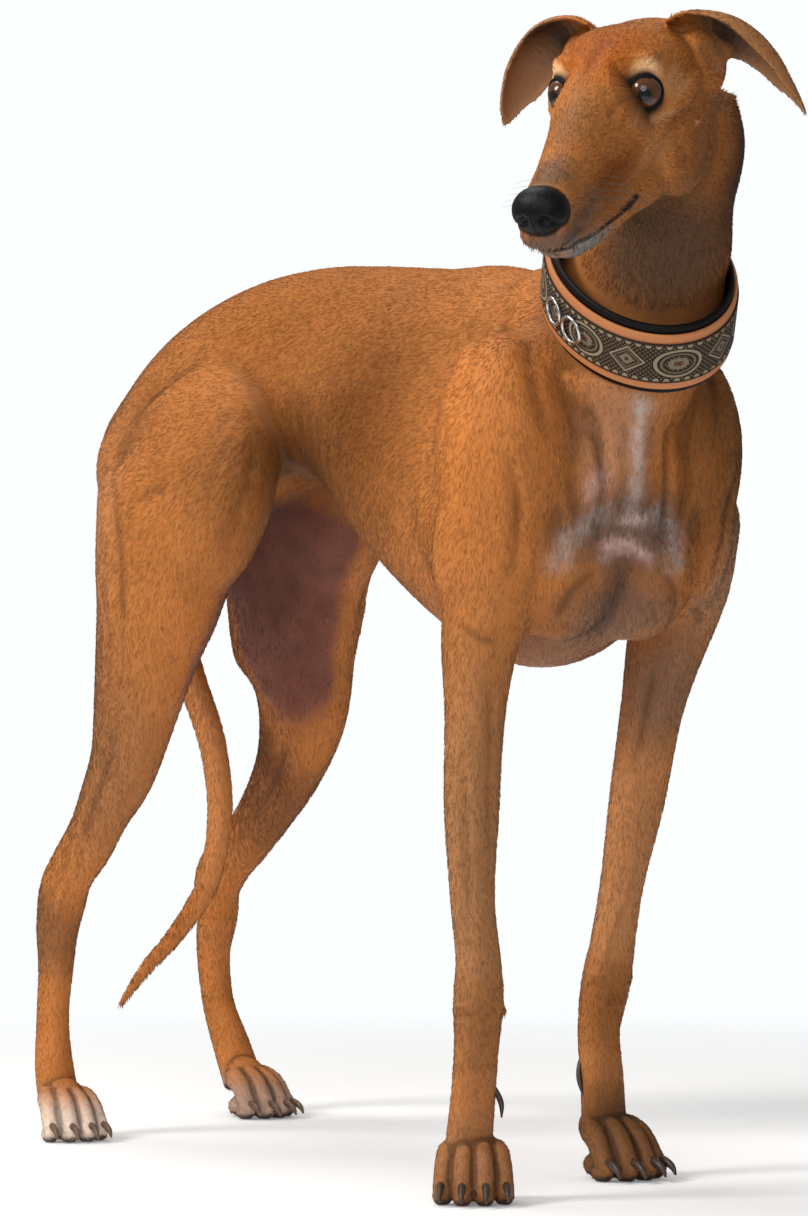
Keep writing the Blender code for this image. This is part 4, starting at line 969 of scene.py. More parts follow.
# Spots of colour: place, reach along X, Y and Z, colour, strength. Body spots are in the drawing's frame,
# head spots in the head's, and all are laid over the ground colour in turn; many are painted shade or
# painted light, marked where they stand. A spot that ends in "both" is on both sides of the head.
markingAndShadeForm = {
    "ground": (0.43, 0.15, 0.036),
    "wander": 0.16,
    "body": (
        # painted shade: darker along the underside of the chest and belly
        ((0.05, 0.0, 0.44), (0.3, 0.1, 0.06), (0.26, 0.11, 0.045), 0.5),
        # painted light: the right shoulder lighter; below it, the left shoulder darker as painted shade
        ((0.31, -0.12, 0.57), (0.1, 0.07, 0.13), (0.56, 0.185, 0.04), 0.75),
        ((0.31, 0.13, 0.57), (0.1, 0.07, 0.13), (0.33, 0.13, 0.036), 0.6),
        ((-0.14, 0.0, 0.61), (0.12, 0.14, 0.06), (0.42, 0.165, 0.052), 0.5),
        # painted shade: the ribs, the flank and the front of the thighs darker, in these three spots
        ((0.15, 0.0, 0.57), (0.13, 0.2, 0.13), (0.11, 0.031, 0.002), 0.9),
        ((0.03, 0.0, 0.545), (0.17, 0.2, 0.095), (0.085, 0.028, 0.005), 0.92),
        ((-0.05, 0.0, 0.5), (0.07, 0.2, 0.09), (0.27, 0.1, 0.026), 0.65),
        ((0.0, 0.0, 0.66), (0.2, 0.2, 0.07), (0.3, 0.098, 0.018), 0.65),
        ((-0.27, 0.0, 0.6), (0.1, 0.15, 0.06), (0.35, 0.15, 0.054), 0.6),
        ((-0.25, -0.12, 0.47), (0.14, 0.08, 0.17), (0.5, 0.225, 0.1), 0.65),
        ((-0.25, 0.12, 0.47), (0.13, 0.08, 0.15), (0.5, 0.205, 0.078), 0.45),
        ((0.4, -0.02, 0.56), (0.06, 0.05, 0.065), (0.48, 0.225, 0.11), 0.8),
        ((0.388, 0.0, 0.49), (0.06, 0.085, 0.05), (0.105, 0.068, 0.052), 0.88),
        ((0.36, 0.0, 0.43), (0.08, 0.08, 0.04), (0.15, 0.09, 0.062), 0.8),
        ((0.3, 0.0, 0.402), (0.12, 0.08, 0.035), (0.2, 0.12, 0.08), 0.65),
        # painted shade: the neck under the head darker, in these two spots
        ((0.455, -0.02, 0.69), (0.09, 0.09, 0.08), (0.078, 0.046, 0.028), 0.9),
        ((0.45, 0.05, 0.75), (0.09, 0.06, 0.1), (0.022, 0.007, 0.003), 0.93),
        # painted shade: the left elbow darker, under the chest
        ((0.33, 0.105, 0.42), (0.07, 0.045, 0.06), (0.23, 0.12, 0.062), 0.6),
        ((0.335, -0.1, 0.24), (0.09, 0.07, 0.24), (0.3, 0.14, 0.058), 0.85),
        ((0.25, 0.09, 0.22), (0.1, 0.07, 0.24), (0.4, 0.176, 0.068), 0.8),
        ((0.35, 0.12, 0.47), (0.06, 0.05, 0.08), (0.33, 0.19, 0.115), 0.55),
        # painted shade: the left forearm and the left side of the chest darker, in these two spots
        ((0.285, 0.095, 0.37), (0.06, 0.05, 0.07), (0.15, 0.09, 0.06), 0.7),
        ((0.36, 0.085, 0.55), (0.07, 0.06, 0.11), (0.12, 0.048, 0.014), 0.8),
        ((-0.2, -0.12, 0.32), (0.12, 0.06, 0.16), (0.27, 0.115, 0.044), 0.75),
        # painted shade: the left gaskin darker
        ((-0.3, 0.1, 0.28), (0.11, 0.07, 0.11), (0.17, 0.062, 0.02), 0.85),
        ((-0.3, -0.11, 0.17), (0.05, 0.06, 0.06), (0.18, 0.074, 0.028), 0.82),
        # painted shade: the left forepaw darker, under the chest
        ((0.23, 0.086, 0.03), (0.08, 0.07, 0.07), (0.09, 0.042, 0.016), 0.88),
        ((0.215, 0.09, 0.13), (0.05, 0.05, 0.06), (0.22, 0.072, 0.014), 0.8),
        ((0.333, -0.1, 0.13), (0.05, 0.05, 0.05), (0.26, 0.1, 0.03), 0.8),
        ((0.335, -0.1, 0.03), (0.08, 0.07, 0.06), (0.32, 0.14, 0.056), 0.8),
        ((-0.395, -0.006, 0.065), (0.05, 0.05, 0.055), (0.4, 0.3, 0.24), 0.75),
        # painted light: the tail lighter, as if lit, in these two spots
        ((-0.34, 0.0, 0.3), (0.05, 0.035, 0.26), (0.52, 0.2, 0.058), 0.55),
        ((-0.26, 0.015, 0.3), (0.035, 0.035, 0.16), (0.56, 0.235, 0.085), 0.6),
    ),
    # streaks: half width in millimetres, colour, strength, path
    "streaks": (
        # painted shade in the furrow behind the upper arm
        (7.0, (0.13, 0.044, 0.008), 0.75, ((0.262, -0.064, 0.645), (0.286, -0.1, 0.605), (0.291, -0.118, 0.565),
                                           (0.285, -0.119, 0.526), (0.279, -0.117, 0.489),
                                           (0.275, -0.112, 0.453))),
        # painted shade in the fold down the front of the shoulder
        (5.0, (0.15, 0.055, 0.016), 0.65, ((0.384, -0.041, 0.583), (0.387, -0.031, 0.554),
                                           (0.388, -0.031, 0.535))),
        # painted shade along the fold low on the front of the shoulder
        (6.0, (0.17, 0.07, 0.026), 0.65, ((0.378, -0.047, 0.5), (0.374, -0.049, 0.467), (0.366, -0.051, 0.43))),
        (6.5, (0.52, 0.44, 0.4), 0.85, ((0.408, -0.009, 0.582), (0.398, -0.003, 0.562), (0.392, -0.001, 0.535),
                                        (0.391, -0.003, 0.508))),
        (8.0, (0.56, 0.32, 0.26), 0.85, ((0.389, -0.03, 0.53), (0.387, -0.036, 0.52))),
        (6.5, (0.64, 0.4, 0.35), 0.95, ((0.38, -0.02, 0.474), (0.381, 0.0, 0.48), (0.379, 0.016, 0.47))),
        (5.0, (0.6, 0.42, 0.38), 0.75, ((0.39, -0.01, 0.497), (0.391, 0.01, 0.494))),
        (9.0, (0.4, 0.32, 0.28), 0.8, ((0.384, -0.03, 0.5), (0.377, -0.05, 0.482), (0.372, -0.058, 0.468))),
        (9.0, (0.38, 0.3, 0.26), 0.75, ((0.387, 0.02, 0.5), (0.381, 0.038, 0.488), (0.38, 0.04, 0.465))),
        (9.0, (0.13, 0.078, 0.058), 0.7, ((0.376, -0.004, 0.462), (0.365, -0.006, 0.438),
                                          (0.345, -0.004, 0.418))),
    ),
    "head": (
        ((-0.01, 0.0, 0.03), (0.055, 0.05, 0.03), (0.38, 0.092, 0.004), 0.94),
        # painted highlight: the brows lighter
        ((0.002, 0.036, 0.014), (0.022, 0.016, 0.014), (0.98, 0.56, 0.27), 0.92, "both"),
        ((0.008, 0.032, -0.038), (0.03, 0.016, 0.02), (0.47, 0.2, 0.066), 0.75, "both"),
        ((-0.016, 0.048, 0.0), (0.02, 0.016, 0.014), (0.6, 0.3, 0.13), 0.6),
        ((-0.006, 0.0, 0.033), (0.034, 0.01, 0.016), (0.3, 0.07, 0.008), 0.75),
        ((0.055, 0.0, 0.004), (0.05, 0.024, 0.024), (0.27, 0.108, 0.034), 0.75),
        # painted shade: the left side of the muzzle darker than the right, in these two spots
        ((0.06, 0.03, -0.036), (0.045, 0.026, 0.024), (0.23, 0.058, 0.002), 0.85),
        ((0.06, -0.03, -0.036), (0.045, 0.026, 0.024), (0.3, 0.11, 0.03), 0.6),
        ((0.104, 0.0, -0.008), (0.026, 0.034, 0.022), (0.12, 0.07, 0.042), 0.8),
        ((0.098, 0.024, -0.04), (0.036, 0.022, 0.024), (0.17, 0.09, 0.048), 0.75, "both"),
        ((0.125, 0.0, -0.05), (0.036, 0.06, 0.016), (0.085, 0.072, 0.062), 0.97),
        ((0.098, 0.0, -0.066), (0.05, 0.06, 0.016), (0.2, 0.19, 0.18), 0.94),
        ((0.03, 0.0, -0.085), (0.07, 0.05, 0.028), (0.23, 0.13, 0.07), 0.6),
        # painted shade: the lower cheeks and the throat under the jaw darker, in these three spots
        ((-0.035, 0.045, -0.06), (0.04, 0.035, 0.04), (0.22, 0.082, 0.024), 0.65),
        ((-0.035, -0.045, -0.06), (0.04, 0.035, 0.04), (0.22, 0.082, 0.024), 0.5),
        ((-0.06, 0.0, -0.06), (0.045, 0.08, 0.05), (0.2, 0.076, 0.022), 0.75),
        ((0.01, 0.038, -0.017), (0.024, 0.016, 0.009), (0.3, 0.16, 0.09), 0.5, "both"),
    ),
    # the same in the head's frame, on both sides
    "headStreaks": (
        (3.2, (0.07, 0.031, 0.015), 0.6, ((0.02, 0.025, 0.002), (0.026, 0.0228, 0.0035))),
        # painted shade in the cheek crease
        (2.2, (0.09, 0.034, 0.01), 0.65, ((-0.0498, 0.0505, -0.0434), (-0.0488, 0.0499, -0.056),
                                          (-0.0376, 0.0472, -0.0655), (-0.0267, 0.0419, -0.0736))),
        (3.4, (0.2, 0.085, 0.032), 0.6, ((0.017, 0.02, 0.016), (0.011, 0.0222, 0.018))),
        # painted highlight along the brow ridge
        (3.4, (0.88, 0.54, 0.31), 0.65, ((0.006, 0.029, 0.0165), (-0.005, 0.036, 0.012))),
        (3.0, (0.56, 0.3, 0.15), 0.55, ((0.023, 0.029, -0.014), (0.008, 0.037, -0.017),
                                        (-0.008, 0.044, -0.015))),
        (2.2, (0.014, 0.01, 0.009), 0.95, ((0.0275, 0.0251, -0.0632), (0.0532, 0.0211, -0.0615),
                                           (0.07, 0.018, -0.0611))),
        (3.4, (0.34, 0.31, 0.28), 0.7, ((0.118, 0.011, -0.059), (0.0957, 0.0164, -0.064),
                                        (0.0657, 0.0172, -0.07))),
        (5.0, (0.085, 0.05, 0.03), 0.65, ((0.09, 0.02, -0.04), (0.105, 0.02, -0.04), (0.118, 0.016, -0.04))),
    ),
    "innerLeg": (0.135, 0.05, 0.042),
    "innerLegSpot": ((-0.18, 0.045, 0.425), (0.16, 0.075, 0.15)),
    "bareChest": ((0.382, 0.0, 0.474), (0.03, 0.03, 0.016)),
    "earOut": (0.42, 0.185, 0.072),
    # painted shade inside the ear's hollow near its root
    "earHollowShade": (0.04, 0.018, 0.01),
    "earMid": (0.38, 0.2, 0.1),
    "rim": (0.006, 0.0045, 0.004),
    "lip": (0.014, 0.01, 0.009),
    "toes": {
        "forelegRight": (0.23, 0.1, 0.04),
        # painted shade: the left feet's toes darker than the right ones
        "forelegLeft": (0.15, 0.068, 0.028),
        "hindlegRight": (0.82, 0.72, 0.61),
        # painted shade: the left hind toes darker than the right ones
        "hindlegLeft": (0.38, 0.29, 0.24),
    },
    "pad": (0.01, 0.008, 0.007),
}


def blobShare(points, at, reach):
    # 1 in the middle of a spot, 0 from its reach on
    off = (points - np.array(at)) / np.array(reach)
    return 1 - ramp(np.sqrt((off**2).sum(1)), 0.25, 1.0)


def mixed(colour, other, share):
    return colour + (np.array(other) - colour) * np.asarray(share)[:, None]


earRows = {}


def earPlace(points, sign):
    # how far along the ear a point is, from 0 at its root to 1, its distance from the midline's
    # leaf, and the way that the hollow side faces there
    if sign not in earRows:
        dense, _, level, root = earLine(sign)
        earRows[sign] = (dense[:, :3] @ level.T + root, dense[:, 5:8] @ level.T, dense[:, 3])
    line, hollow, radius = earRows[sign]
    near = np.full(len(points), 9.0)
    which = np.zeros(len(points), int)
    for i in range(0, len(line), 2):
        gap = np.linalg.norm(points - line[i] - hollow[i] * radius[i] * 0.35, axis=1)
        closer = gap < near
        near = np.where(closer, gap, near)
        which = np.where(closer, i, which)
    return which / (len(line) - 1), near, hollow[which]


def hollows(mesh, rounds=20):
    # how hollow the skin is round each point: above zero in folds, below on ridges
    points, normals = pointsOf(mesh), normalsOf(mesh)
    a, b = edgesOf(mesh)
    count = len(points)
    degree = aroundCount(a, b, count)
    soft = points.copy()
    for _ in range(rounds):
        soft = aroundSum(a, b, soft, count) / degree
    value = ((soft - points) * normals).sum(1)
    lengths = np.linalg.norm(points[a] - points[b], axis=1)
    reach = np.bincount(a, lengths, count) + np.bincount(b, lengths, count)
    return value / (reach / degree[:, 0] * 0.4)


def drift(points, starts, size):
    # a smooth random step in each of the three directions
    return np.stack([wander(points + start, size) for start in starts], 1)


def markingsAndShade(points, normals, mouth, hollowness, tree):
    # colour, with painted shade and light, and bareness of the skin at the given points, and which of them are on an
    # ear
    colour = np.tile(np.array(markingAndShadeForm["ground"]), (len(points), 1))
    shift = wander(points, 0.045) * 0.5 + wander(points + 3.1, 0.018) * 0.3
    shift += wander(points + 7.7, 0.007) * 0.2
    moved = points + drift(points, (11, 23, 37), 0.012) * 0.0035
    moved += drift(points, (51, 63, 77), 0.004) * 0.0012
    local = toHead(moved)
    onHead = 1 - ramp(np.linalg.norm(points - np.array(headForm["at"]), axis=1), 0.13, 0.2)
    for at, reach, tone, strength in markingAndShadeForm["body"]:
        colour = mixed(colour, tone, blobShare(moved, at, reach) * strength)
    for at, reach, tone, strength, *both in markingAndShadeForm["head"]:
        for sign in (1, -1) if both else (1,):
            place = (at[0], sign * at[1], at[2])
            colour = mixed(colour, tone, blobShare(local, place, reach) * strength * onHead)
    rows = list(markingAndShadeForm["streaks"])
    for wide, tone, strength, path in markingAndShadeForm["headStreaks"]:
        for sign in (1, -1):
            rows.append((wide, tone, strength, snapped(tree, fromHead(np.array(path) * (1, sign, 1)))))
    for wide, tone, strength, path in rows:
        near, gap, _ = nearPath(moved, np.array(path), wide / 1000 * 2.5)
        amount = np.zeros(len(points))
        uneven = 0.75 + 0.5 * wander(points[near], 0.004)
        amount[near] = np.exp(-(gap / (wide / 1000)) ** 2) * strength * uneven
        colour = mixed(colour, tone, np.clip(amount, 0, 1))
    bare = np.zeros(len(points))
    ear = np.zeros(len(points))
    for sign in (1, -1):
        along, gap, hollow = earPlace(points, sign)
        share = (gap < 0.03) * ramp(along, 0.1, 0.26) * (local[:, 0] < -0.02)
        inward = ramp((normals * hollow).sum(1), -0.1, 0.35)
        colour = mixed(colour, markingAndShadeForm["earOut"], share * (1 - inward) * 0.85)
        colour = mixed(colour, markingAndShadeForm["earMid"], share * inward * 0.85)
        # painted shade in the ear's hollow near its root
        hollowShadeShare = share * inward * (1 - ramp(along, 0.28, 0.62))
        colour = mixed(colour, markingAndShadeForm["earHollowShade"], hollowShadeShare * 0.95)
        bare = np.maximum(bare, share * inward * 0.5)
        ear = np.maximum(ear, share)
    x, y, z = points.T
    for name, tint in markingAndShadeForm["toes"].items():
        px, py = pawForm[name][0]
        share = (np.hypot(x - px - 0.02, y - py) < 0.075) * (1 - ramp(z, 0.012, 0.05))
        colour = mixed(colour, tint, share * 0.75)
    colour = colour * (1 + markingAndShadeForm["wander"] * shift)[:, None]
    pad = (1 - ramp(z, 0.0015, 0.0065)) * (z < 0.01) + ramp(-normals[:, 2], 0.55, 0.85) * (z < 0.03)
    pad = np.clip(pad, 0, 1)
    colour = mixed(colour, markingAndShadeForm["pad"], pad * 0.9)
    bare = np.maximum(bare, pad)
    near, gap, _ = nearPath(points, mouth, 0.006)
    lip = np.zeros(len(points))
    back = ramp(toHead(points[near])[:, 0], 0.075, 0.035)
    lip[near] = 1 - ramp(gap, 0.0008 + 0.0006 * back, 0.0022 + 0.0026 * back)
    colour = mixed(colour, markingAndShadeForm["lip"], lip)
    bare = np.maximum(bare, lip)
    offNose = (toHead(points) - np.array(noseForm["at"])) / np.array(noseForm["size"])
    nose = 1 - ramp(np.linalg.norm(offNose, axis=1), 1.03, 1.16)
    colour = mixed(colour, markingAndShadeForm["lip"], nose)
    bare = np.maximum(bare, nose)
    for sign in (1, -1):
        eye = carried(points, np.linalg.inv(np.array(eyeMatrix(sign))))
        close = np.flatnonzero(np.linalg.norm(eye, axis=1) < 2.2 * eyeForm["radius"])
        gap = lidGap(eye[close], sign)
        rim = np.zeros(len(points))
        rim[close] = 1 - ramp(gap, 11.0, 21.0)
        colour = mixed(colour, markingAndShadeForm["rim"], rim)
        bare = np.maximum(bare, rim)
    offWart = np.linalg.norm(points - onSkin(tree, fromHead([wartForm["at"]])[0]), axis=1)
    colour = mixed(colour, wartForm["colour"], 0.8 * (1 - ramp(offWart, 0.0012, 0.0026)))
    patch = blobShare(points, *markingAndShadeForm["bareChest"]) * 0.6
    inner = np.zeros(len(points))
    (x, y, height), reach = markingAndShadeForm["innerLegSpot"]
    for sign in (1, -1):
        there = blobShare(points, (x, sign * y, height), reach) * (sign * points[:, 1] > 0)
        inner = np.maximum(inner, ramp(there, 0.0, 0.45) * ramp(-sign * normals[:, 1], -0.15, 0.45))
    colour = mixed(colour, np.array(markingAndShadeForm["innerLeg"]), inner * 0.88)
    colour *= (1 + inner * 0.22 * wander(points, 0.016))[:, None]
    inner *= 0.75
    # painted shade: darker in folds and creases, more so round the toes; painted highlight: lighter on ridges
    paintedFoldShade = 0.32 - 0.14 * onHead + 0.22 * (1 - ramp(z, 0.05, 0.08))
    colour = colour * (1 - paintedFoldShade * ramp(hollowness, 0.08, 0.9))[:, None]
    colour *= (1 + 0.12 * ramp(-hollowness, 0.1, 1.0))[:, None]
    bare = np.maximum(bare, np.maximum(patch, inner))
    return np.clip(colour, 0.002, 1), np.clip(bare, 0, 1), ear


def paintPoints(mesh, colour, **masks):
    # colour and masks as attributes of the points
    layer = mesh.color_attributes.new("tone", "FLOAT_COLOR", "POINT")
    layer.data.foreach_set("color", np.column_stack([colour, np.ones(len(colour))]).astype(np.float32).ravel())
    for name, values in masks.items():
        mask = mesh.attributes.new(name, "FLOAT", "POINT")
        mask.data.foreach_set("value", np.asarray(values, np.float32))


def group(name, inputs, outputs):
    # an empty node group with its named sockets
    tree = bpy.data.node_groups.new(name, "ShaderNodeTree")
    for label, value in inputs:
        socket = tree.interface.new_socket(name=label, in_out="INPUT", socket_type="NodeSocketFloat")
        socket.default_value = value
    for label, kind in outputs:
        tree.interface.new_socket(name=label, in_out="OUTPUT", socket_type=kind)
    start, end = tree.nodes.new("NodeGroupInput"), tree.nodes.new("NodeGroupOutput")
    return tree, start, end


def node(tree, kind, **values):
    # a node with its properties or sockets set by name
    made = tree.nodes.new(kind)
    for key, value in values.items():
        if hasattr(made, key):
            setattr(made, key, value)
        else:
            made.inputs[key.replace("_", " ")].default_value = value
    return made


def mathNode(tree, operation, a, b=None, c=None):
    made = node(tree, "ShaderNodeMath", operation=operation)
    for i, value in enumerate((a, b, c)):
        if isinstance(value, (int, float)):
            made.inputs[i].default_value = value
        elif value is not None:
            tree.links.new(value, made.inputs[i])
    return made.outputs[0]


def grainGroup():
    # fine grain at two sizes: a shade factor round one and a height
    tree, start, end = group("surfaceGrain", (("Scale", 400.0), ("Contrast", 0.15), ("Fine", 0.5)),
                             (("Shade", "NodeSocketFloat"), ("Height", "NodeSocketFloat")))
    place = node(tree, "ShaderNodeTexCoord")
    blend = node(tree, "ShaderNodeMix", data_type="FLOAT")
    tree.links.new(start.outputs["Fine"], blend.inputs[0])
    finer = mathNode(tree, "MULTIPLY", start.outputs["Scale"], 3.1)
    for socket, size, detail in ((2, start.outputs["Scale"], 3.0), (3, finer, 2.0)):
        noise = node(tree, "ShaderNodeTexNoise", Detail=detail)
        tree.links.new(place.outputs["Object"], noise.inputs["Vector"])
        tree.links.new(size, noise.inputs["Scale"])
        tree.links.new(noise.outputs[0], blend.inputs[socket])
    centred = mathNode(tree, "SUBTRACT", blend.outputs[0], 0.5)
    shade = mathNode(tree, "MULTIPLY_ADD", centred, start.outputs["Contrast"], 1.0)
    tree.links.new(shade, end.inputs["Shade"])
    tree.links.new(blend.outputs[0], end.inputs["Height"])
    return tree


def fill(holder, **values):
    # sets the sockets of a node, with _ for the blanks in their names
    for key, value in values.items():
        holder.inputs[key.replace("_", " ")].default_value = value


def material(name, grain, colour=None, tone=False, rough=0.6, scale=400.0, contrast=0.3, fine=0.5, bump=0.2,
             depth=0.0003, metal=0.0, coat=0.0, coatRough=0.1, specular=0.4, roughSpread=0.1, skin=0.0):
    made = bpy.data.materials.new(name)
    made.use_nodes = True
    tree = made.node_tree
    shader = tree.nodes["Principled BSDF"]
    fill(shader, Metallic=metal, Coat_Weight=coat, Coat_Roughness=coatRough, Specular_IOR_Level=specular)
    if skin:
        fill(shader, Subsurface_Weight=skin, Subsurface_Radius=(1.0, 0.35, 0.2), Subsurface_Scale=0.002)
    detail = tree.nodes.new("ShaderNodeGroup")
    detail.node_tree = grain
    fill(detail, Scale=scale, Contrast=contrast, Fine=fine)
    shade = node(tree, "ShaderNodeVectorMath", operation="SCALE")
    if tone:
        source = node(tree, "ShaderNodeVertexColor", layer_name="tone")
        tree.links.new(source.outputs["Color"], shade.inputs[0])
    else:
        shade.inputs[0].default_value = colour
    tree.links.new(detail.outputs["Shade"], shade.inputs["Scale"])
    tree.links.new(shade.outputs[0], shader.inputs["Base Color"])
    spread = node(tree, "ShaderNodeMapRange")
    fill(spread, From_Min=0.3, From_Max=0.7, To_Min=rough - roughSpread / 2, To_Max=rough + roughSpread / 2)
    tree.links.new(detail.outputs["Height"], spread.inputs["Value"])
    tree.links.new(spread.outputs[0], shader.inputs["Roughness"])
    if bump:
        relief = node(tree, "ShaderNodeBump")
        fill(relief, Strength=bump, Distance=depth)
        tree.links.new(detail.outputs["Height"], relief.inputs["Height"])
        tree.links.new(relief.outputs[0], shader.inputs["Normal"])
    return made


grain = grainGroup()


noseForm = {
    "at": (0.125, 0.0, -0.027),
    "size": (0.0145, 0.0192, 0.0165),
    "colour": (0.0018, 0.0016, 0.0015),
    "rough": 0.42,
    # nostril, a deep round hole in front with a slit that curls back along the side: place, depth
    # and half width of the press
    "nostril": (
        ((0.0135, 0.0062, -0.001), 3.6, 0.0026),
        ((0.0122, 0.0088, -0.003), 3.4, 0.0026),
        ((0.0095, 0.0124, -0.0056), 2.0, 0.0016),
        ((0.005, 0.0152, -0.0072), 1.2, 0.0013),
    ),
    "wing": (0.0118, 0.0098, 0.0018),
}
eyeColours = {
    "pupil": (0.004, 0.003, 0.003),
    "iris": (0.095, 0.03, 0.008),
    "irisEdge": (0.03, 0.012, 0.005),
    "white": (0.26, 0.2, 0.165),
    "whiteRim": (0.05, 0.03, 0.022),
    "pupilAngle": 22.0,
    "irisAngle": 61.0,
}
clawForm = {
    "fore": (0.045, 0.028, 0.018),
    "hind": (0.13, 0.075, 0.045),
    "dewclaws": {
        "forelegRight": ((0.326, -0.092, 0.092), (0.333, -0.087, 0.082), (0.338, -0.084, 0.071),
                         (0.34, -0.085, 0.061)),
        "forelegLeft": ((0.214, 0.076, 0.1), (0.214, 0.068, 0.088), (0.218, 0.064, 0.074), (0.222, 0.066, 0.06)),
    },
}


def finished(made, slotName, *nodes):
    # takes a piece from the drawing's frame to the solids' and ties it to its body
    made.data.transform(Matrix.Translation(originShift))
    made.data.update()
    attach(made, bodyName)
    if nodes:
        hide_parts(*nodes)
    return made


def smooth(made, look):
    made.data.materials.clear()
    made.data.materials.append(look)
    made.data.polygons.foreach_set("use_smooth", np.ones(len(made.data.polygons), bool))
    made.data.update()
    return made


def makeNose():
    made = sphere("noseLeather", 120, 90)
    # poles to the sides, so that the front is even
    points = pointsOf(made.data)[:, [0, 2, 1]]
    out = points.copy()
    points = points * np.array(noseForm["size"])
    front = out[:, 0] > 0
    for sign in (1, -1):
        rows = np.array([(*at, deep, wide) for at, deep, wide in noseForm["nostril"]]) * (1, sign, 1, 1, 1)
        for first, second in zip(rows, rows[1:]):
            for t in np.linspace(0, 1, 5):
                row = first + (second - first) * t
                gap = np.linalg.norm(points - row[:3], axis=1)
                points -= out * (row[3] / 2800 * np.exp(-(gap / row[4]) ** 2))[:, None]
        rim = np.linalg.norm(points - np.array(noseForm["wing"]) * (1, sign, 1), axis=1)
        points += out * (0.0007 * np.exp(-(rim / 0.0028) ** 2))[:, None]
    cleft = np.exp(-(points[:, 1] / 0.0006) ** 2) * front * ramp(-points[:, 2], -0.004, 0.004)
    points -= out * (cleft * 0.0011)[:, None]
    points[:, 2] *= np.where(points[:, 2] > 0, 0.97, 1.0)
    points += out * (wander(points, 0.0011) * 0.00012)[:, None]
    setPoints(made.data, fromHead(points + np.array(noseForm["at"])))
    colour = np.tile(np.array(noseForm["colour"]), (len(points), 1))
    # painted highlight: the top of the nose leather lighter
    colour *= (1 + 0.5 * ramp(out[:, 2], 0.0, 1.0))[:, None]
    paintPoints(made.data, colour)
    look = material("noseLook", grain, tone=True, rough=noseForm["rough"], scale=1100.0, contrast=0.5, fine=0.3,
                    bump=0.55,
                    depth=0.0005, specular=0.18)
    smooth(made, look)
    return finished(made, "nose", "nose")


def makeEye(side, sign):
    made = sphere(f"eyeball{side}", 96, 120)
    points = pointsOf(made.data)
    angle = np.degrees(np.arccos(np.clip(points[:, 2], -1, 1)))
    form = eyeColours
    # cornea bulge over the iris
    points *= (1 + 0.035 * (1 - ramp(angle, 0, form["irisAngle"] + 6)))[:, None]
    turn = np.arctan2(points[:, 1], points[:, 0])
    fibre = wander(np.stack([np.cos(turn) * 9, np.sin(turn) * 9, angle / 26], 1), 1.0)
    colour = np.tile(np.array(form["iris"]), (len(points), 1)) * (1 + 0.3 * fibre)[:, None]
    colour *= (0.7 + 0.5 * ramp(angle, form["pupilAngle"], form["irisAngle"] - 8))[:, None]
    colour = mixed(colour, form["irisEdge"], ramp(angle, form["irisAngle"] - 5, form["irisAngle"]))
    colour = mixed(colour, form["white"], ramp(angle, form["irisAngle"], form["irisAngle"] + 3))
    colour = mixed(colour, form["whiteRim"], ramp(angle, form["irisAngle"] + 9, form["irisAngle"] + 22))
    colour = mixed(colour, form["pupil"], 1 - ramp(angle, form["pupilAngle"] - 1.5, form["pupilAngle"] + 1.5))
    paintPoints(made.data, np.clip(colour, 0.001, 1))
    out, up = math.radians(eyeForm["gazeOut"] * sign), math.radians(eyeForm["gazeUp"])
    gaze = Vector((math.cos(out) * math.cos(up), math.sin(out) * math.cos(up), math.sin(up)))
    turned = gaze.to_track_quat("Z", "Y").to_matrix().to_4x4()
    matrix = eyeSpot(sign) @ turned @ Matrix.Diagonal((eyeForm["radius"] * 0.985,) * 3 + (1.0,))
    setPoints(made.data, points)
    made.data.transform(matrix)
    look = material(f"eyeLook{side}", grain, tone=True, rough=0.5, scale=2400.0, contrast=0.35, fine=0.5, bump=0.0,
                    coat=1.0,
                    coatRough=0.012, roughSpread=0.04, specular=0.02)
    smooth(made, look)
    name = f"eye_{side.lower()}"
    return finished(made, name, name)


def clawLoft(name, rows, matrix):
    # a curved claw, round in section
    dense = through(rows, 5)
    tangents = np.gradient(dense[:, :3], axis=0)
    rings = []
    for i, row in enumerate(dense):
        ahead = unit(tangents[i])
        side = np.array((0.0, 1.0, 0.0))
        up = unit(np.cross(ahead, side))
        rings.append(oval(row[:3], side, up, row[3], row[4], row[5], count=14))
    made = loft(name, rings)
    if matrix:
        made.data.transform(matrix)
    return made


def makeClaws():
    pieces, colours = [], []
    for name in pawForm:
        before = len(pieces)
        for across, ahead, _ in toeForm:
            path = (
                (0.03 + ahead, 1.14 * across, 0.015, 0.0034, 0.004, 0.004),
                (0.042 + ahead, 1.2 * across, 0.0135, 0.003, 0.0034, 0.0034),
                (0.05 + ahead, 1.22 * across, 0.009, 0.0022, 0.0024, 0.0024),
                (0.053 + ahead, 1.23 * across, 0.0042, 0.0009, 0.0009, 0.0009),
            )
            pieces.append(clawLoft("claw", path, pawMatrix(*pawForm[name])))
        rows = clawForm["dewclaws"].get(name)
        if rows:
            path = np.array(rows, float)
            wide = 0.0023 * np.sin(np.linspace(0.35, math.pi - 0.12, len(path))) ** 0.6
            pieces.append(clawLoft("dewclaw", np.column_stack([path, wide, wide, wide]), None))
        tint = clawForm["fore" if name.startswith("fore") else "hind"]
        colours += [tint] * sum(len(piece.data.vertices) for piece in pieces[before:])
    made = joined("claws", pieces)
    points = pointsOf(made.data)
    points[:, 2] = np.maximum(points[:, 2], coatForm["lowest"])
    setPoints(made.data, points)
    paintPoints(made.data, np.array(colours) * (1 + 0.35 * wander(points, 0.003))[:, None])
    look = material("clawLook", grain, tone=True, rough=0.38, scale=900.0, contrast=0.5, fine=0.4, bump=0.3)
    smooth(made, look)
    return finished(made, "foreleg_right")


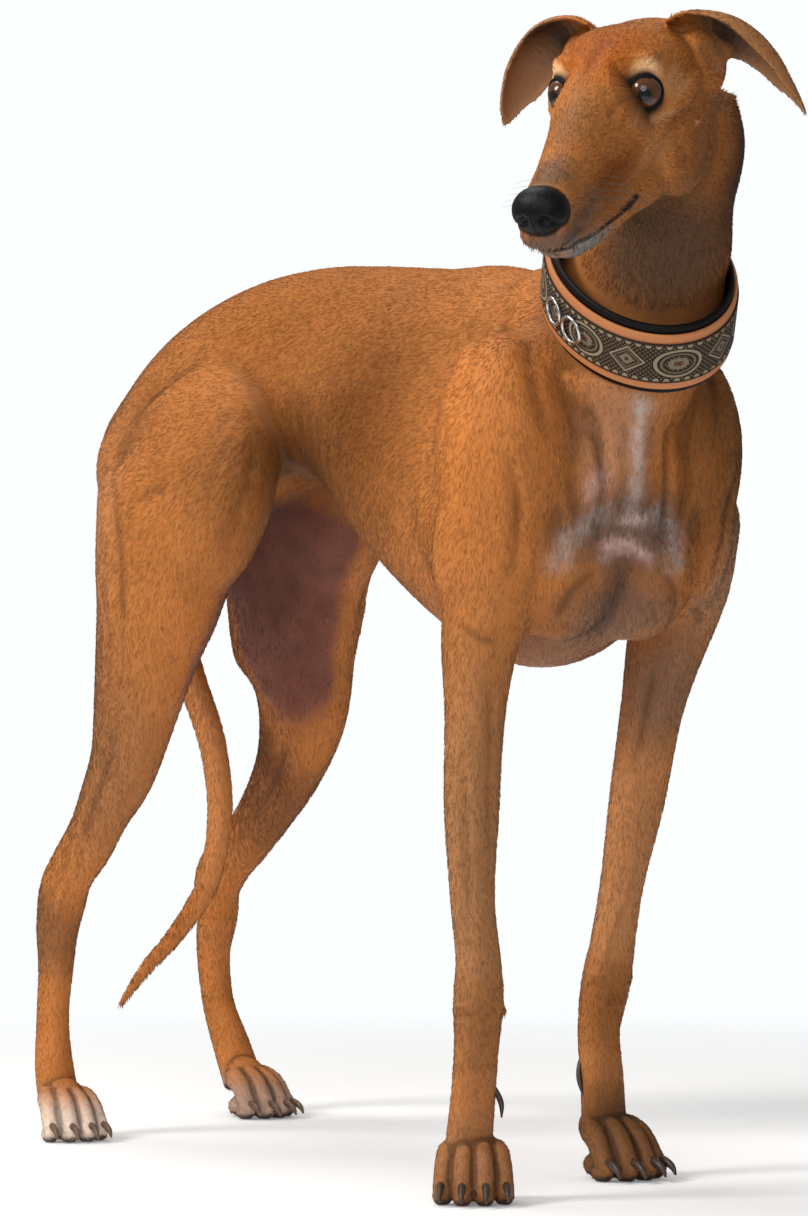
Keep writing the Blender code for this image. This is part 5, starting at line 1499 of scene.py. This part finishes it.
collarLayers = {
    "lining": {"gap": 0.0, "thick": 0.004, "wide": 0.062, "edge": 0.05},
    "strap": {"gap": 0.0043, "thick": 0.0026, "wide": 0.05, "edge": 0.03},
    "ribbon": {"gap": 0.0072, "thick": 0.001, "wide": 0.036, "edge": 0.02},
}
ribbonForm = {
    "repeats": 13,
    "dark": (0.03, 0.018, 0.012),
    "pale": (0.3, 0.24, 0.155),
    "tan": (0.17, 0.12, 0.07),
    "grey": (0.2, 0.165, 0.12),
    "red": (0.085, 0.022, 0.01),
}
ringForm = {"bearings": (196, 180), "lift": 0.0086, "radius": 0.01, "wire": 0.0014, "steps": 64, "sides": 14}


def collarPlace(angle):
    # a place on the collar's ring, the way out from it and the way along the neck
    facing = Vector(collarForm["facing"]).normalized()
    side = Vector((0.0, 1.0, 0.0))
    side = (side - facing * side.dot(facing)).normalized()
    down = facing.cross(side)
    r = collarForm["radii"]
    out = (side * math.cos(angle) / r[0] + down * math.sin(angle) / r[1]).normalized()
    centre = Vector(collarForm["at"]) + side * r[0] * math.cos(angle) + down * r[1] * math.sin(angle)
    return centre, out, facing


def band(name, gap, thick, wide, profile, steps=240):
    # a band bent to a ring; the profile is rows of share across the width and share of the thickness
    points, uvs, lengths = [], [], []
    length, last = 0.0, None
    for i in range(steps + 1):
        centre, out, facing = collarPlace(2 * math.pi * i / steps)
        if last is not None:
            length += (centre - last).length
        last = centre
        lengths.append(length)
        if i < steps:
            for across, height in profile:
                points.append(centre + facing * (across * wide / 2) + out * (gap + height * thick))
    for start, end in zip(lengths, lengths[1:]):
        for (a, _), (b, _) in zip(profile, profile[1:] + profile[:1]):
            uvs += [(start, a), (end, a), (end, b), (start, b)]
    made = meshObject(name, points, gridFaces(steps, len(profile), True))
    layer = made.data.uv_layers.new(name="strip")
    flat = [(u / length, (v + 1) / 2) for u, v in uvs]
    layer.data.foreach_set("uv", np.array(flat, np.float32).ravel())
    faceOut(made.data)
    return made


def bandProfile(edge, crown):
    # a soft edged section, outer face first and flat inner face last
    rows = []
    for a in np.linspace(-math.pi / 2, math.pi / 2, 6):
        rows.append((-1 + edge * (1 - math.cos(a)), 0.5 + 0.5 * math.sin(a)))
    far = [(-x, height) for x, height in reversed(rows)]
    rows += [(x, 1.0 + crown * (1 - x * x)) for x in np.linspace(-1 + edge * 2.2, 1 - edge * 2.2, 13)]
    return rows + far


def stripCoordinates(tree):
    # how far round the band, and across it
    place = node(tree, "ShaderNodeUVMap", uv_map="strip")
    split = node(tree, "ShaderNodeSeparateXYZ")
    tree.links.new(place.outputs[0], split.inputs[0])
    return split.outputs["X"], split.outputs["Y"]


def mixColour(tree, share, a, b):
    # a where the share is 0, b where it is 1, each a colour or a socket
    made = node(tree, "ShaderNodeMix", data_type="RGBA")
    tree.links.new(share, made.inputs[0])
    for socket, value in ((made.inputs[6], a), (made.inputs[7], b)):
        if isinstance(value, tuple):
            socket.default_value = (*value, 1.0)
        else:
            tree.links.new(value, socket)
    return made.outputs[2]


def ribbonMaterial():
    # a woven trim: ovals and diamonds in turn, with dotted borders
    made = material("ribbonLook", grain, colour=ribbonForm["dark"], rough=0.75, scale=900.0, contrast=0.6, bump=0.5,
                    specular=0.2)
    tree = made.node_tree

    def step(operation, *values):
        return mathNode(tree, operation, *values)

    def length(a, b):
        return step("SQRT", step("ADD", step("POWER", a, 2.0), step("POWER", b, 2.0)))

    u, v = stripCoordinates(tree)
    scaled = step("MULTIPLY", u, float(ribbonForm["repeats"]))
    x = step("SUBTRACT", step("FRACT", scaled), 0.5)
    y = step("SUBTRACT", v, 0.5)
    even = step("LESS_THAN", step("FRACT", step("MULTIPLY", step("FLOOR", scaled), 0.5)), 0.25)
    ax, ay = step("ABSOLUTE", x), step("ABSOLUTE", y)
    ovalGap = length(step("MULTIPLY", ax, 2.15), step("MULTIPLY", ay, 2.9))
    diamondGap = step("ADD", step("MULTIPLY", ax, 2.7), step("MULTIPLY", ay, 3.1))
    shapeGap = node(tree, "ShaderNodeMix", data_type="FLOAT")
    for i, value in ((0, even), (2, ovalGap), (3, diamondGap)):
        tree.links.new(value, shapeGap.inputs[i])
    gap = shapeGap.outputs[0]
    # dotted borders near both edges
    dots = step("MULTIPLY", u, ribbonForm["repeats"] * 5.0)
    dotGap = length(step("MULTIPLY", step("SUBTRACT", step("FRACT", dots), 0.5), 0.14), step("SUBTRACT", ay, 0.415))
    # small dots all over the rest of the weave, and a second line within each figure
    wide, high = step("MULTIPLY", x, 10.0), step("MULTIPLY", y, 9.0)
    rows = [step("COMPARE", step("FRACT", step(kind, wide, high)), 0.5, 0.24) for kind in ("ADD", "SUBTRACT")]
    free = step("GREATER_THAN", step("ABSOLUTE", step("SUBTRACT", gap, 0.83)), 0.27)
    layers = (
        (step("COMPARE", gap, 0.95, 0.075), "pale"),
        (step("LESS_THAN", gap, 0.42), "grey"),
        (step("LESS_THAN", gap, 0.2), "red"),
        (step("COMPARE", gap, 0.7, 0.05), "tan"),
        (step("MULTIPLY", step("MULTIPLY", rows[0], rows[1]), free), "tan"),
        (step("LESS_THAN", dotGap, 0.036), "pale"),
        (step("GREATER_THAN", ay, 0.47), "dark"),
    )
    colour = ribbonForm["dark"]
    for share, name in layers:
        colour = mixColour(tree, share, colour, ribbonForm[name])
    scale = next(n for n in tree.nodes if n.bl_idname == "ShaderNodeVectorMath")
    tree.links.new(colour, scale.inputs[0])
    return made


def ring(name, bearing, look):
    # a small round ring of wire that lies on the ribbon
    form = ringForm
    centre, out, _ = collarPlace(math.radians(bearing))
    turn = out.to_track_quat("Z", "Y").to_matrix()
    at = centre + out * (form["lift"] + form["wire"])
    points = []
    for a in np.linspace(0, 2 * math.pi, form["steps"], endpoint=False):
        way = turn @ Vector((math.cos(a), math.sin(a), 0.0))
        for b in np.linspace(0, 2 * math.pi, form["sides"], endpoint=False):
            reach = form["radius"] + form["wire"] * math.cos(b)
            points.append(at + way * reach + turn.col[2] * form["wire"] * math.sin(b))
    made = meshObject(name, points, gridFaces(form["steps"], form["sides"], True))
    faceOut(made.data)
    smooth(made, look)
    return finished(made, name, name)


def makeCollar():
    looks = {
        "lining": material("liningLook", grain, colour=(0.002, 0.0012, 0.0006), rough=0.52, scale=500.0,
                           contrast=0.5, bump=0.5, depth=0.0005, specular=0.16),
        "strap": material("strapLook", grain, colour=(0.54, 0.198, 0.068), rough=0.55, scale=420.0,
                          contrast=0.35, bump=0.45, depth=0.0004, roughSpread=0.2),
        "ribbon": ribbonMaterial(),
    }
    for name, form in collarLayers.items():
        profile = bandProfile(form["edge"], form["edge"])
        made = band(f"collar_{name}", form["gap"], form["thick"], form["wide"], profile)
        smooth(made, looks[name])
        finished(made, f"collar_{name}", f"collar_{name}")
    steel = material("steelLook", grain, colour=(0.62, 0.62, 0.63), rough=0.24, scale=600.0, contrast=0.15, bump=0.1,
                     depth=0.0002, metal=1.0)
    for i, bearing in enumerate(ringForm["bearings"]):
        ring(f"collar_ring_{i + 1}", bearing, steel)


coatForm = {
    "count": 262000,
    "length": 0.0056,
    "wide": 0.00088,
    "rise": 0.0007,
    "sink": 0.0005,
    "seed": 41,
    "perPiece": 44000,
    "lowest": 0.0001,
    # shade of the two root points, the one under them and the tip
    "shade": (0.86, 0.86, 0.84, 1.14),
}
# Parts of the unwrap: axis line, for the angle and the length along it.
atlasForm = {
    "trunk": ((-0.42, 0.0, 0.6), (0.4, 0.0, 0.6)),
    "neck": ((0.34, 0.0, 0.58), (0.47, -0.03, 0.76)),
    "head": ((0.42, 0.02, 0.83), (0.56, -0.21, 0.74)),
    "forelegRight": ((0.3, -0.09, 0.45), (0.33, -0.1, 0.0)),
    "forelegLeft": ((0.28, 0.09, 0.45), (0.23, 0.086, 0.0)),
    "hindlegRight": ((-0.18, -0.09, 0.5), (-0.28, -0.109, 0.0)),
    "hindlegLeft": ((-0.2, 0.09, 0.5), (-0.386, 0.13, 0.0)),
    "tail": ((-0.36, 0.0, 0.5), (-0.38, 0.0, 0.07)),
}


def regionOf(points):
    # which part of the atlas each point belongs to
    x, y, z = points.T
    names = list(atlasForm)
    region = np.zeros(len(points), int)
    region[(x > 0.36) & (z > 0.58)] = names.index("neck")
    head = np.linalg.norm(points - np.array(headForm["at"]), axis=1) < 0.17
    region[head & (z > 0.7)] = names.index("head")
    low = z < 0.42
    region[low & (x > 0.05) & (y < 0)] = names.index("forelegRight")
    region[low & (x > 0.05) & (y >= 0)] = names.index("forelegLeft")
    low = z < 0.48
    region[low & (x < 0.0) & (y < 0)] = names.index("hindlegRight")
    region[low & (x < 0.0) & (y >= 0)] = names.index("hindlegLeft")
    tail = (x < -0.24) & (np.abs(y) < 0.032) & (z < 0.54)
    region[tail] = names.index("tail")
    return region


def atlasPlace(points):
    # the root's place on an unwrap of the skin, part by part round the parts' axes
    region = regionOf(points)
    place = np.zeros((len(points), 2))
    for i, (start, end) in enumerate(atlasForm.values()):
        start, end = np.array(start), np.array(end)
        here = np.flatnonzero(region == i)
        axis = unit(end - start)
        side = unit(np.cross(axis, (0.3, 0.9, 0.3)))
        other = np.cross(axis, side)
        off = points[here] - start
        along = off @ axis
        low, high = along.min(initial=0), along.max(initial=1)
        turn = np.arctan2(off @ side, off @ other) / (2 * math.pi) + 0.5
        column, row = i % 4, i // 4
        place[here, 0] = (column + 0.03 + 0.94 * turn) / 4
        place[here, 1] = (row + 0.03 + 0.94 * (along - low) / max(high - low, 1e-6)) / 2
    return place


def flowAt(points, normals, region):
    # the lie of the coat
    names = list(atlasForm)
    flow = np.tile(np.array((-1.0, 0.0, -0.45)), (len(points), 1))
    x, _, z = points.T
    flow[:, 2] -= 0.8 * ramp(0.6 - z, 0.0, 0.14)
    flow[:, 2] += 0.35 * ramp(z, 0.64, 0.7)
    breast = ramp(x, 0.3, 0.37)[:, None]
    flow = flow * (1 - breast) + np.array((-0.15, 0.0, -1.0)) * breast
    flow[region == names.index("neck")] = (-0.45, 0.05, -0.9)
    for name in pawForm:
        here = region == names.index(name)
        share = ramp(0.5 - z[here], 0.0, 0.1)[:, None]
        flow[here] = flow[here] * (1 - share) + np.array((-0.12, 0.0, -1.0)) * share
        toe = ramp(0.055 - z[here], 0.0, 0.03)[:, None]
        heading = math.radians(pawForm[name][1])
        flow[here] = flow[here] * (1 - toe) + np.array((math.cos(heading), math.sin(heading), -0.7)) * toe
    flow[region == names.index("tail")] = (-0.05, 0.0, -1.0)
    here = region == names.index("head")
    local = toHead(points[here])
    back = headPlace.to_3x3() @ Vector((-1.0, 0.0, 0.0))
    down = headPlace.to_3x3() @ Vector((-0.6, 0.0, -1.0))
    share = ramp(-local[:, 2], 0.01, 0.06)[:, None]
    flow[here] = np.array(back) * (1 - share) + np.array(down) * share
    for sign in (1, -1):
        along, gap, _ = earPlace(points, sign)
        line = earRows[sign][0]
        on = (gap < 0.03) & (along > 0.12)
        which = np.clip((along * (len(line) - 1)).astype(int), 1, len(line) - 2)
        flow[on] = (line[which + 1] - line[which - 1])[on]
    flow += drift(points, (0, 5, 9), 0.03) * 0.1 * np.linalg.norm(flow, axis=1)[:, None]
    flow -= normals * (flow * normals).sum(1)[:, None]
    return flow / np.maximum(np.linalg.norm(flow, axis=1), 1e-9)[:, None]


def makeCoat(skin):
    mesh = skin.data
    mesh.calc_loop_triangles()
    corners = readAll(mesh.loop_triangles, "vertices", 3, np.int32)
    points, normals = pointsOf(mesh), normalsOf(mesh)
    tone = readAll(mesh.color_attributes["tone"].data, "color", 4)[:, :3]
    bare, ear = (readAll(mesh.attributes[name].data, "value", 1)[:, 0] for name in ("bare", "ear"))
    a, b, c = (points[corners[:, k]] for k in range(3))
    area = np.linalg.norm(np.cross(b - a, c - a), axis=1) / 2
    middle = (a + b + c) / 3
    nearHead = 1 - ramp(np.linalg.norm(middle - np.array(headForm["at"]), axis=1), 0.1, 0.17)
    feet = 1 - ramp(middle[:, 2], 0.05, 0.14)
    dense = 1.0 + 1.6 * nearHead + 1.2 * feet
    dense *= 1 - 0.97 * bare[corners].max(axis=1)
    along, away, edge, _, _ = collarSpan(middle)
    underCollar = (np.abs(along) < 0.028) & (away < edge + 0.003)
    rng = np.random.default_rng(coatForm["seed"])
    total = np.cumsum(area * np.where(underCollar, 0.0, dense))
    pick = np.searchsorted(total, rng.random(coatForm["count"]) * total[-1])
    u, v = rng.random((2, len(pick)))
    flip = u + v > 1
    u, v = np.where(flip, 1 - u, u), np.where(flip, 1 - v, v)
    share = np.stack([1 - u - v, u, v], 1)[:, :, None]
    ids = corners[pick]
    root, normal, colour = ((values[ids] * share).sum(1) for values in (points, normals, tone))
    normal /= np.linalg.norm(normal, axis=1)[:, None]
    region = regionOf(root)
    flow = flowAt(root, normal, region)
    size = 1.0 - 0.3 * nearHead[pick] - 0.35 * feet[pick]
    size *= 1 - 0.3 * ear[ids].max(1)
    for sign in (1, -1):
        gap = np.linalg.norm(root - np.array(eyeMatrix(sign).translation), axis=1)
        size *= 1 - 0.55 * (1 - ramp(gap, 0.013, 0.026))
    length = coatForm["length"] * size * rng.uniform(0.65, 1.3, len(pick))
    wide = coatForm["wide"] * (0.45 + 0.55 * size) * rng.uniform(0.7, 1.3, len(pick))
    turn = rng.normal(0, 0.16, len(pick))
    side = np.cross(normal, flow)
    flow = flow * np.cos(turn)[:, None] + side * np.sin(turn)[:, None]
    side = np.cross(normal, flow)
    rise = coatForm["rise"] * size * rng.uniform(0.5, 1.3, len(pick))
    # a tuft is a slim solid: two points at its root, one under it and its tip
    left, right = (root + end * side * (wide / 2)[:, None] - normal * (coatForm["sink"] * 0.3) for end in (-1, 1))
    under = root + flow * (length * 0.35)[:, None] - normal * coatForm["sink"]
    tip = root + flow * length[:, None] + normal * rise[:, None]
    verts = np.stack([left, right, under, tip], 1)
    verts[:, :, 2] = np.maximum(verts[:, :, 2], coatForm["lowest"])
    faces = np.array(((0, 3, 1), (1, 3, 2), (2, 3, 0), (0, 1, 2)))
    lightness = rng.normal(1.0, 0.17 + 0.12 * nearHead[pick]).clip(0.5, 1.7)
    drawn = root - flow * (root * flow).sum(1)[:, None] * 0.75
    lightness *= 1 + (0.18 + 0.24 * nearHead[pick]) * wander(drawn, 0.002) + 0.07 * wander(drawn + 5, 0.006)
    gold = rng.normal(0, 0.5, len(pick))[:, None] * np.array((0.0, 0.1, 0.22))
    tint = lightness[:, None] * (1 + gold).clip(0.4, 1.8)
    place = atlasPlace(root)
    order = np.argsort(region * 10 + (root[:, 2] > 0.3), kind="stable")
    look = material("coatLook", grain, tone=True, rough=0.52, scale=300.0, contrast=0.2, bump=0.0, specular=0.12)
    patch = np.array(((-0.5, -0.5), (0.5, -0.5), (0.0, 0.0), (0.0, 0.5))) * 0.003
    lean = normal[:, None, :] + flow[:, None, :] * np.array((-0.05, -0.05, -0.05, 0.3))[None, :, None]
    spread = rng.normal(0, 0.1, len(pick))[:, None] + np.array((-0.16, 0.16, 0, 0))[None]
    lean += side[:, None, :] * spread[:, :, None]
    lean /= np.linalg.norm(lean, axis=2)[:, :, None]
    pieces = math.ceil(len(pick) / coatForm["perPiece"])
    for k in range(pieces):
        part = order[k * coatForm["perPiece"]:(k + 1) * coatForm["perPiece"]]
        n = len(part)
        mesh = bpy.data.meshes.new(f"coat{k + 1}")
        mesh.vertices.add(n * 4)
        mesh.vertices.foreach_set("co", verts[part].astype(np.float32).ravel())
        loops = (faces[None] + (np.arange(n) * 4)[:, None, None]).astype(np.int32)
        mesh.loops.add(n * 12)
        mesh.loops.foreach_set("vertex_index", loops.ravel())
        mesh.polygons.add(n * 4)
        mesh.polygons.foreach_set("loop_start", np.arange(0, n * 12, 3, dtype=np.int32))
        mesh.polygons.foreach_set("use_smooth", np.ones(n * 4, bool))
        uv = mesh.uv_layers.new(name="OFBake")
        spots = place[part][:, None, None, :] + patch[faces][None]
        uv.data.foreach_set("uv", spots.astype(np.float32).ravel())
        full = colour[part][:, None, :] * tint[part][:, None, :] * np.array(coatForm["shade"])[None, :, None]
        paintPoints(mesh, np.clip(full.reshape(-1, 3), 0.001, 1))
        mesh.update(calc_edges=True)
        mesh.normals_split_custom_set_from_vertices(lean[part].reshape(-1, 3).astype(np.float32))
        mesh.materials.append(look)
        finished(linked(f"coat{k + 1}", mesh), "torso")
    print("coat tufts", len(pick), "in", pieces, "pieces")


# Whiskers: row after row on the lips, over the eyes and under the chin. First place in the head's
# frame, step to the next whisker and to the next row, how many of each, length and its step, and
# the way they are combed.
whiskerForm = {
    "seed": 7,
    "groups": (
        ((0.108, 0.03, -0.03), (-0.01, 0, 0), (-0.003, 0, -0.0075), 5, 4, 0.02, 0.004, (-0.9, 0.7, -0.35)),
        ((-0.004, 0.034, 0.017), (-0.004, 0, 0), (0, 0, 0), 3, 1, 0.016, 0.0, (-0.9, 0.7, 0.8)),
        ((0.08, 0.012, -0.09), (-0.012, 0, 0), (0, 0, 0), 4, 1, 0.013, 0.0, (-0.9, 0.7, -0.9)),
    ),
    "thick": 0.00016,
    "colour": (0.1, 0.075, 0.055),
}


def whisker(tree, at, comb, length):
    # a thin hair from the skin nearest to the place, bent the way it is combed
    spot, normal, _, _ = tree.find_nearest(Vector(fromHead([at])[0]))
    back = (headPlace.to_3x3() @ Vector(comb)).normalized()
    way = (normal * 0.8 + back).normalized()
    bend = (back * 0.6 + Vector((0, 0, -0.25))).normalized()
    rows, thick = [], []
    for t in np.linspace(-0.03, 1, 8):
        rows.append(spot + way * length * t + bend * length * 0.35 * t * t)
        thick.append(whiskerForm["thick"] * (1 - 0.75 * max(t, 0)))
    rows = np.array(rows)
    rings = []
    for row, wide, tangent in zip(rows, thick, np.gradient(rows, axis=0)):
        ahead = unit(tangent)
        side = unit(np.cross(ahead, (0.12, 0.34, 0.93)))
        rings.append(oval(row, side, np.cross(side, ahead), wide, wide, wide, count=5))
    return loft("whisker", rings)


def makeWhiskers(skin):
    tree = skinTree(skin.data)
    rng = np.random.default_rng(whiskerForm["seed"])
    pieces = []
    for sign in (1, -1):
        mirror = np.array((1, sign, 1))
        for first, step, rowStep, count, rowCount, length, longer, comb in whiskerForm["groups"]:
            for row in range(rowCount):
                for i in range(count):
                    at = (np.array(first) + np.array(step) * i + np.array(rowStep) * row) * mirror
                    size = (length + longer * i) * rng.uniform(0.7, 1.25)
                    pieces.append(whisker(tree, at, np.array(comb) * mirror, size))
    look = material("whiskerLook", grain, colour=whiskerForm["colour"], rough=0.45, scale=300.0, contrast=0.2,
                    bump=0.0)
    return finished(smooth(joined("whiskers", pieces), look), "head")


stageForm = {
    "floor": (0.92, 0.92, 0.915),
    "floorGlow": 0.16,
    "sky": (0.96, 0.98, 1.0),
    "skyStrength": 0.3,
    "skySeen": 1.02,
    "fadeFrom": 0.75,
    "fadeTo": 2.1,
    "middle": (0.05, 0, 0.45),
    # lights: name, steps back, right and up from the middle, size, power, colour
    "lights": (
        ("keyLight", (1.5, -3.0, 2.5), 1.6, 118, (1.0, 0.965, 0.92)),
        ("fillLight", (3.4, -0.4, 1.3), 2.4, 44, (0.95, 0.97, 1.0)),
        ("topLight", (-0.7, -0.8, 3.0), 2.0, 42, (1.0, 0.98, 0.96)),
    ),
}
viewForm = {"azimuth": 58.0, "distance": 4.6, "height": 0.4276, "slide": 0.045, "pitch": 0.064, "lens": 173.4,
            "shift": -0.00905}


def areaLight(name, at, towards, size, power, colour):
    data = bpy.data.lights.new(name, "AREA")
    data.shape = "DISK"
    data.size = size
    data.energy = power
    data.color = colour
    made = linked(name, data)
    made.location = at
    made.rotation_euler = (towards - at).to_track_quat("-Z", "Y").to_euler()


def makeStage():
    work = bmesh.new()
    bmesh.ops.create_circle(work, cap_ends=True, segments=96, radius=2.2)
    floor = fromWork("floor", work)
    floor.location = (0, 0, -0.0006)
    look = material("floorLook", grain, colour=stageForm["floor"], rough=0.75, scale=30.0, contrast=0.05, bump=0.15,
                    depth=0.0006)
    tree = look.node_tree
    shader = tree.nodes["Principled BSDF"]
    fill(shader, Emission_Color=(1.0, 1.0, 1.0, 1.0), Emission_Strength=stageForm["floorGlow"])
    place = node(tree, "ShaderNodeTexCoord")
    away = node(tree, "ShaderNodeVectorMath", operation="LENGTH")
    fade = node(tree, "ShaderNodeMapRange", interpolation_type="SMOOTHERSTEP")
    fill(fade, From_Min=stageForm["fadeFrom"], From_Max=stageForm["fadeTo"], To_Min=1.0, To_Max=0.0)
    tree.links.new(place.outputs["Object"], away.inputs[0])
    tree.links.new(away.outputs["Value"], fade.inputs["Value"])
    tree.links.new(fade.outputs[0], shader.inputs["Alpha"])
    smooth(floor, look)
    angle = math.radians(viewForm["azimuth"])
    back = Vector((math.sin(angle), -math.cos(angle), 0.0))
    right = Vector((math.cos(angle), math.sin(angle), 0.0))
    up = Vector((0, 0, 1))
    middle = Vector(stageForm["middle"])
    for name, (far, along, high), size, power, tint in stageForm["lights"]:
        areaLight(name, middle + back * far + right * along + up * high, middle, size, power, tint)
    world = bpy.data.worlds.new("studio")
    world.use_nodes = True
    tree = world.node_tree
    tree.nodes["Background"].inputs["Color"].default_value = (*stageForm["sky"], 1.0)
    seen = node(tree, "ShaderNodeLightPath")
    power = node(tree, "ShaderNodeMapRange")
    fill(power, To_Min=stageForm["skyStrength"], To_Max=stageForm["skySeen"])
    tree.links.new(seen.outputs["Is Camera Ray"], power.inputs["Value"])
    tree.links.new(power.outputs[0], tree.nodes["Background"].inputs["Strength"])
    bpy.context.scene.world = world
    data = bpy.data.cameras.new("camera")
    data.lens = viewForm["lens"]
    data.sensor_width = 36.0
    data.shift_x = viewForm["shift"]
    camera = linked("camera", data)
    at = back * viewForm["distance"] + right * viewForm["slide"] + up * viewForm["height"]
    camera.location = at + originShift
    camera.rotation_euler = (math.radians(90 + viewForm["pitch"]), 0.0, angle)
    bpy.context.scene.camera = camera
    bpy.context.scene.view_settings.view_transform = "Standard"


bodyName = list(frame["bodies"])[0]

body = makeBodySkin()
head, mouth = makeHeadSkin()
skin = joined("skin", (head, body, makePawSkin()))
points, normals = pointsOf(skin.data), normalsOf(skin.data)
colour, bare, ear = markingsAndShade(points, normals, mouth, hollows(skin.data), skinTree(skin.data))
paintPoints(skin.data, colour, bare=bare, ear=ear)
setPoints(skin.data, points - normals * (clay["coatDepth"] * (1 - bare))[:, None])
print("markings painted")
makeCoat(skin)
makeWhiskers(skin)
smooth(skin, material("skinLook", grain, tone=True, rough=0.58, scale=700.0, contrast=0.5, bump=0.5, depth=0.0004,
                      specular=0.12, skin=0.05))
finished(skin, "torso", "head", "neck", "torso", "tail", "foreleg_right", "foreleg_left", "hindleg_right",
         "hindleg_left", "ear_right", "ear_left")
makeNose()
for side, sign in (("Left", 1), ("Right", -1)):
    makeEye(side, sign)
makeClaws()
makeCollar()
print("pieces made")
makeStage()
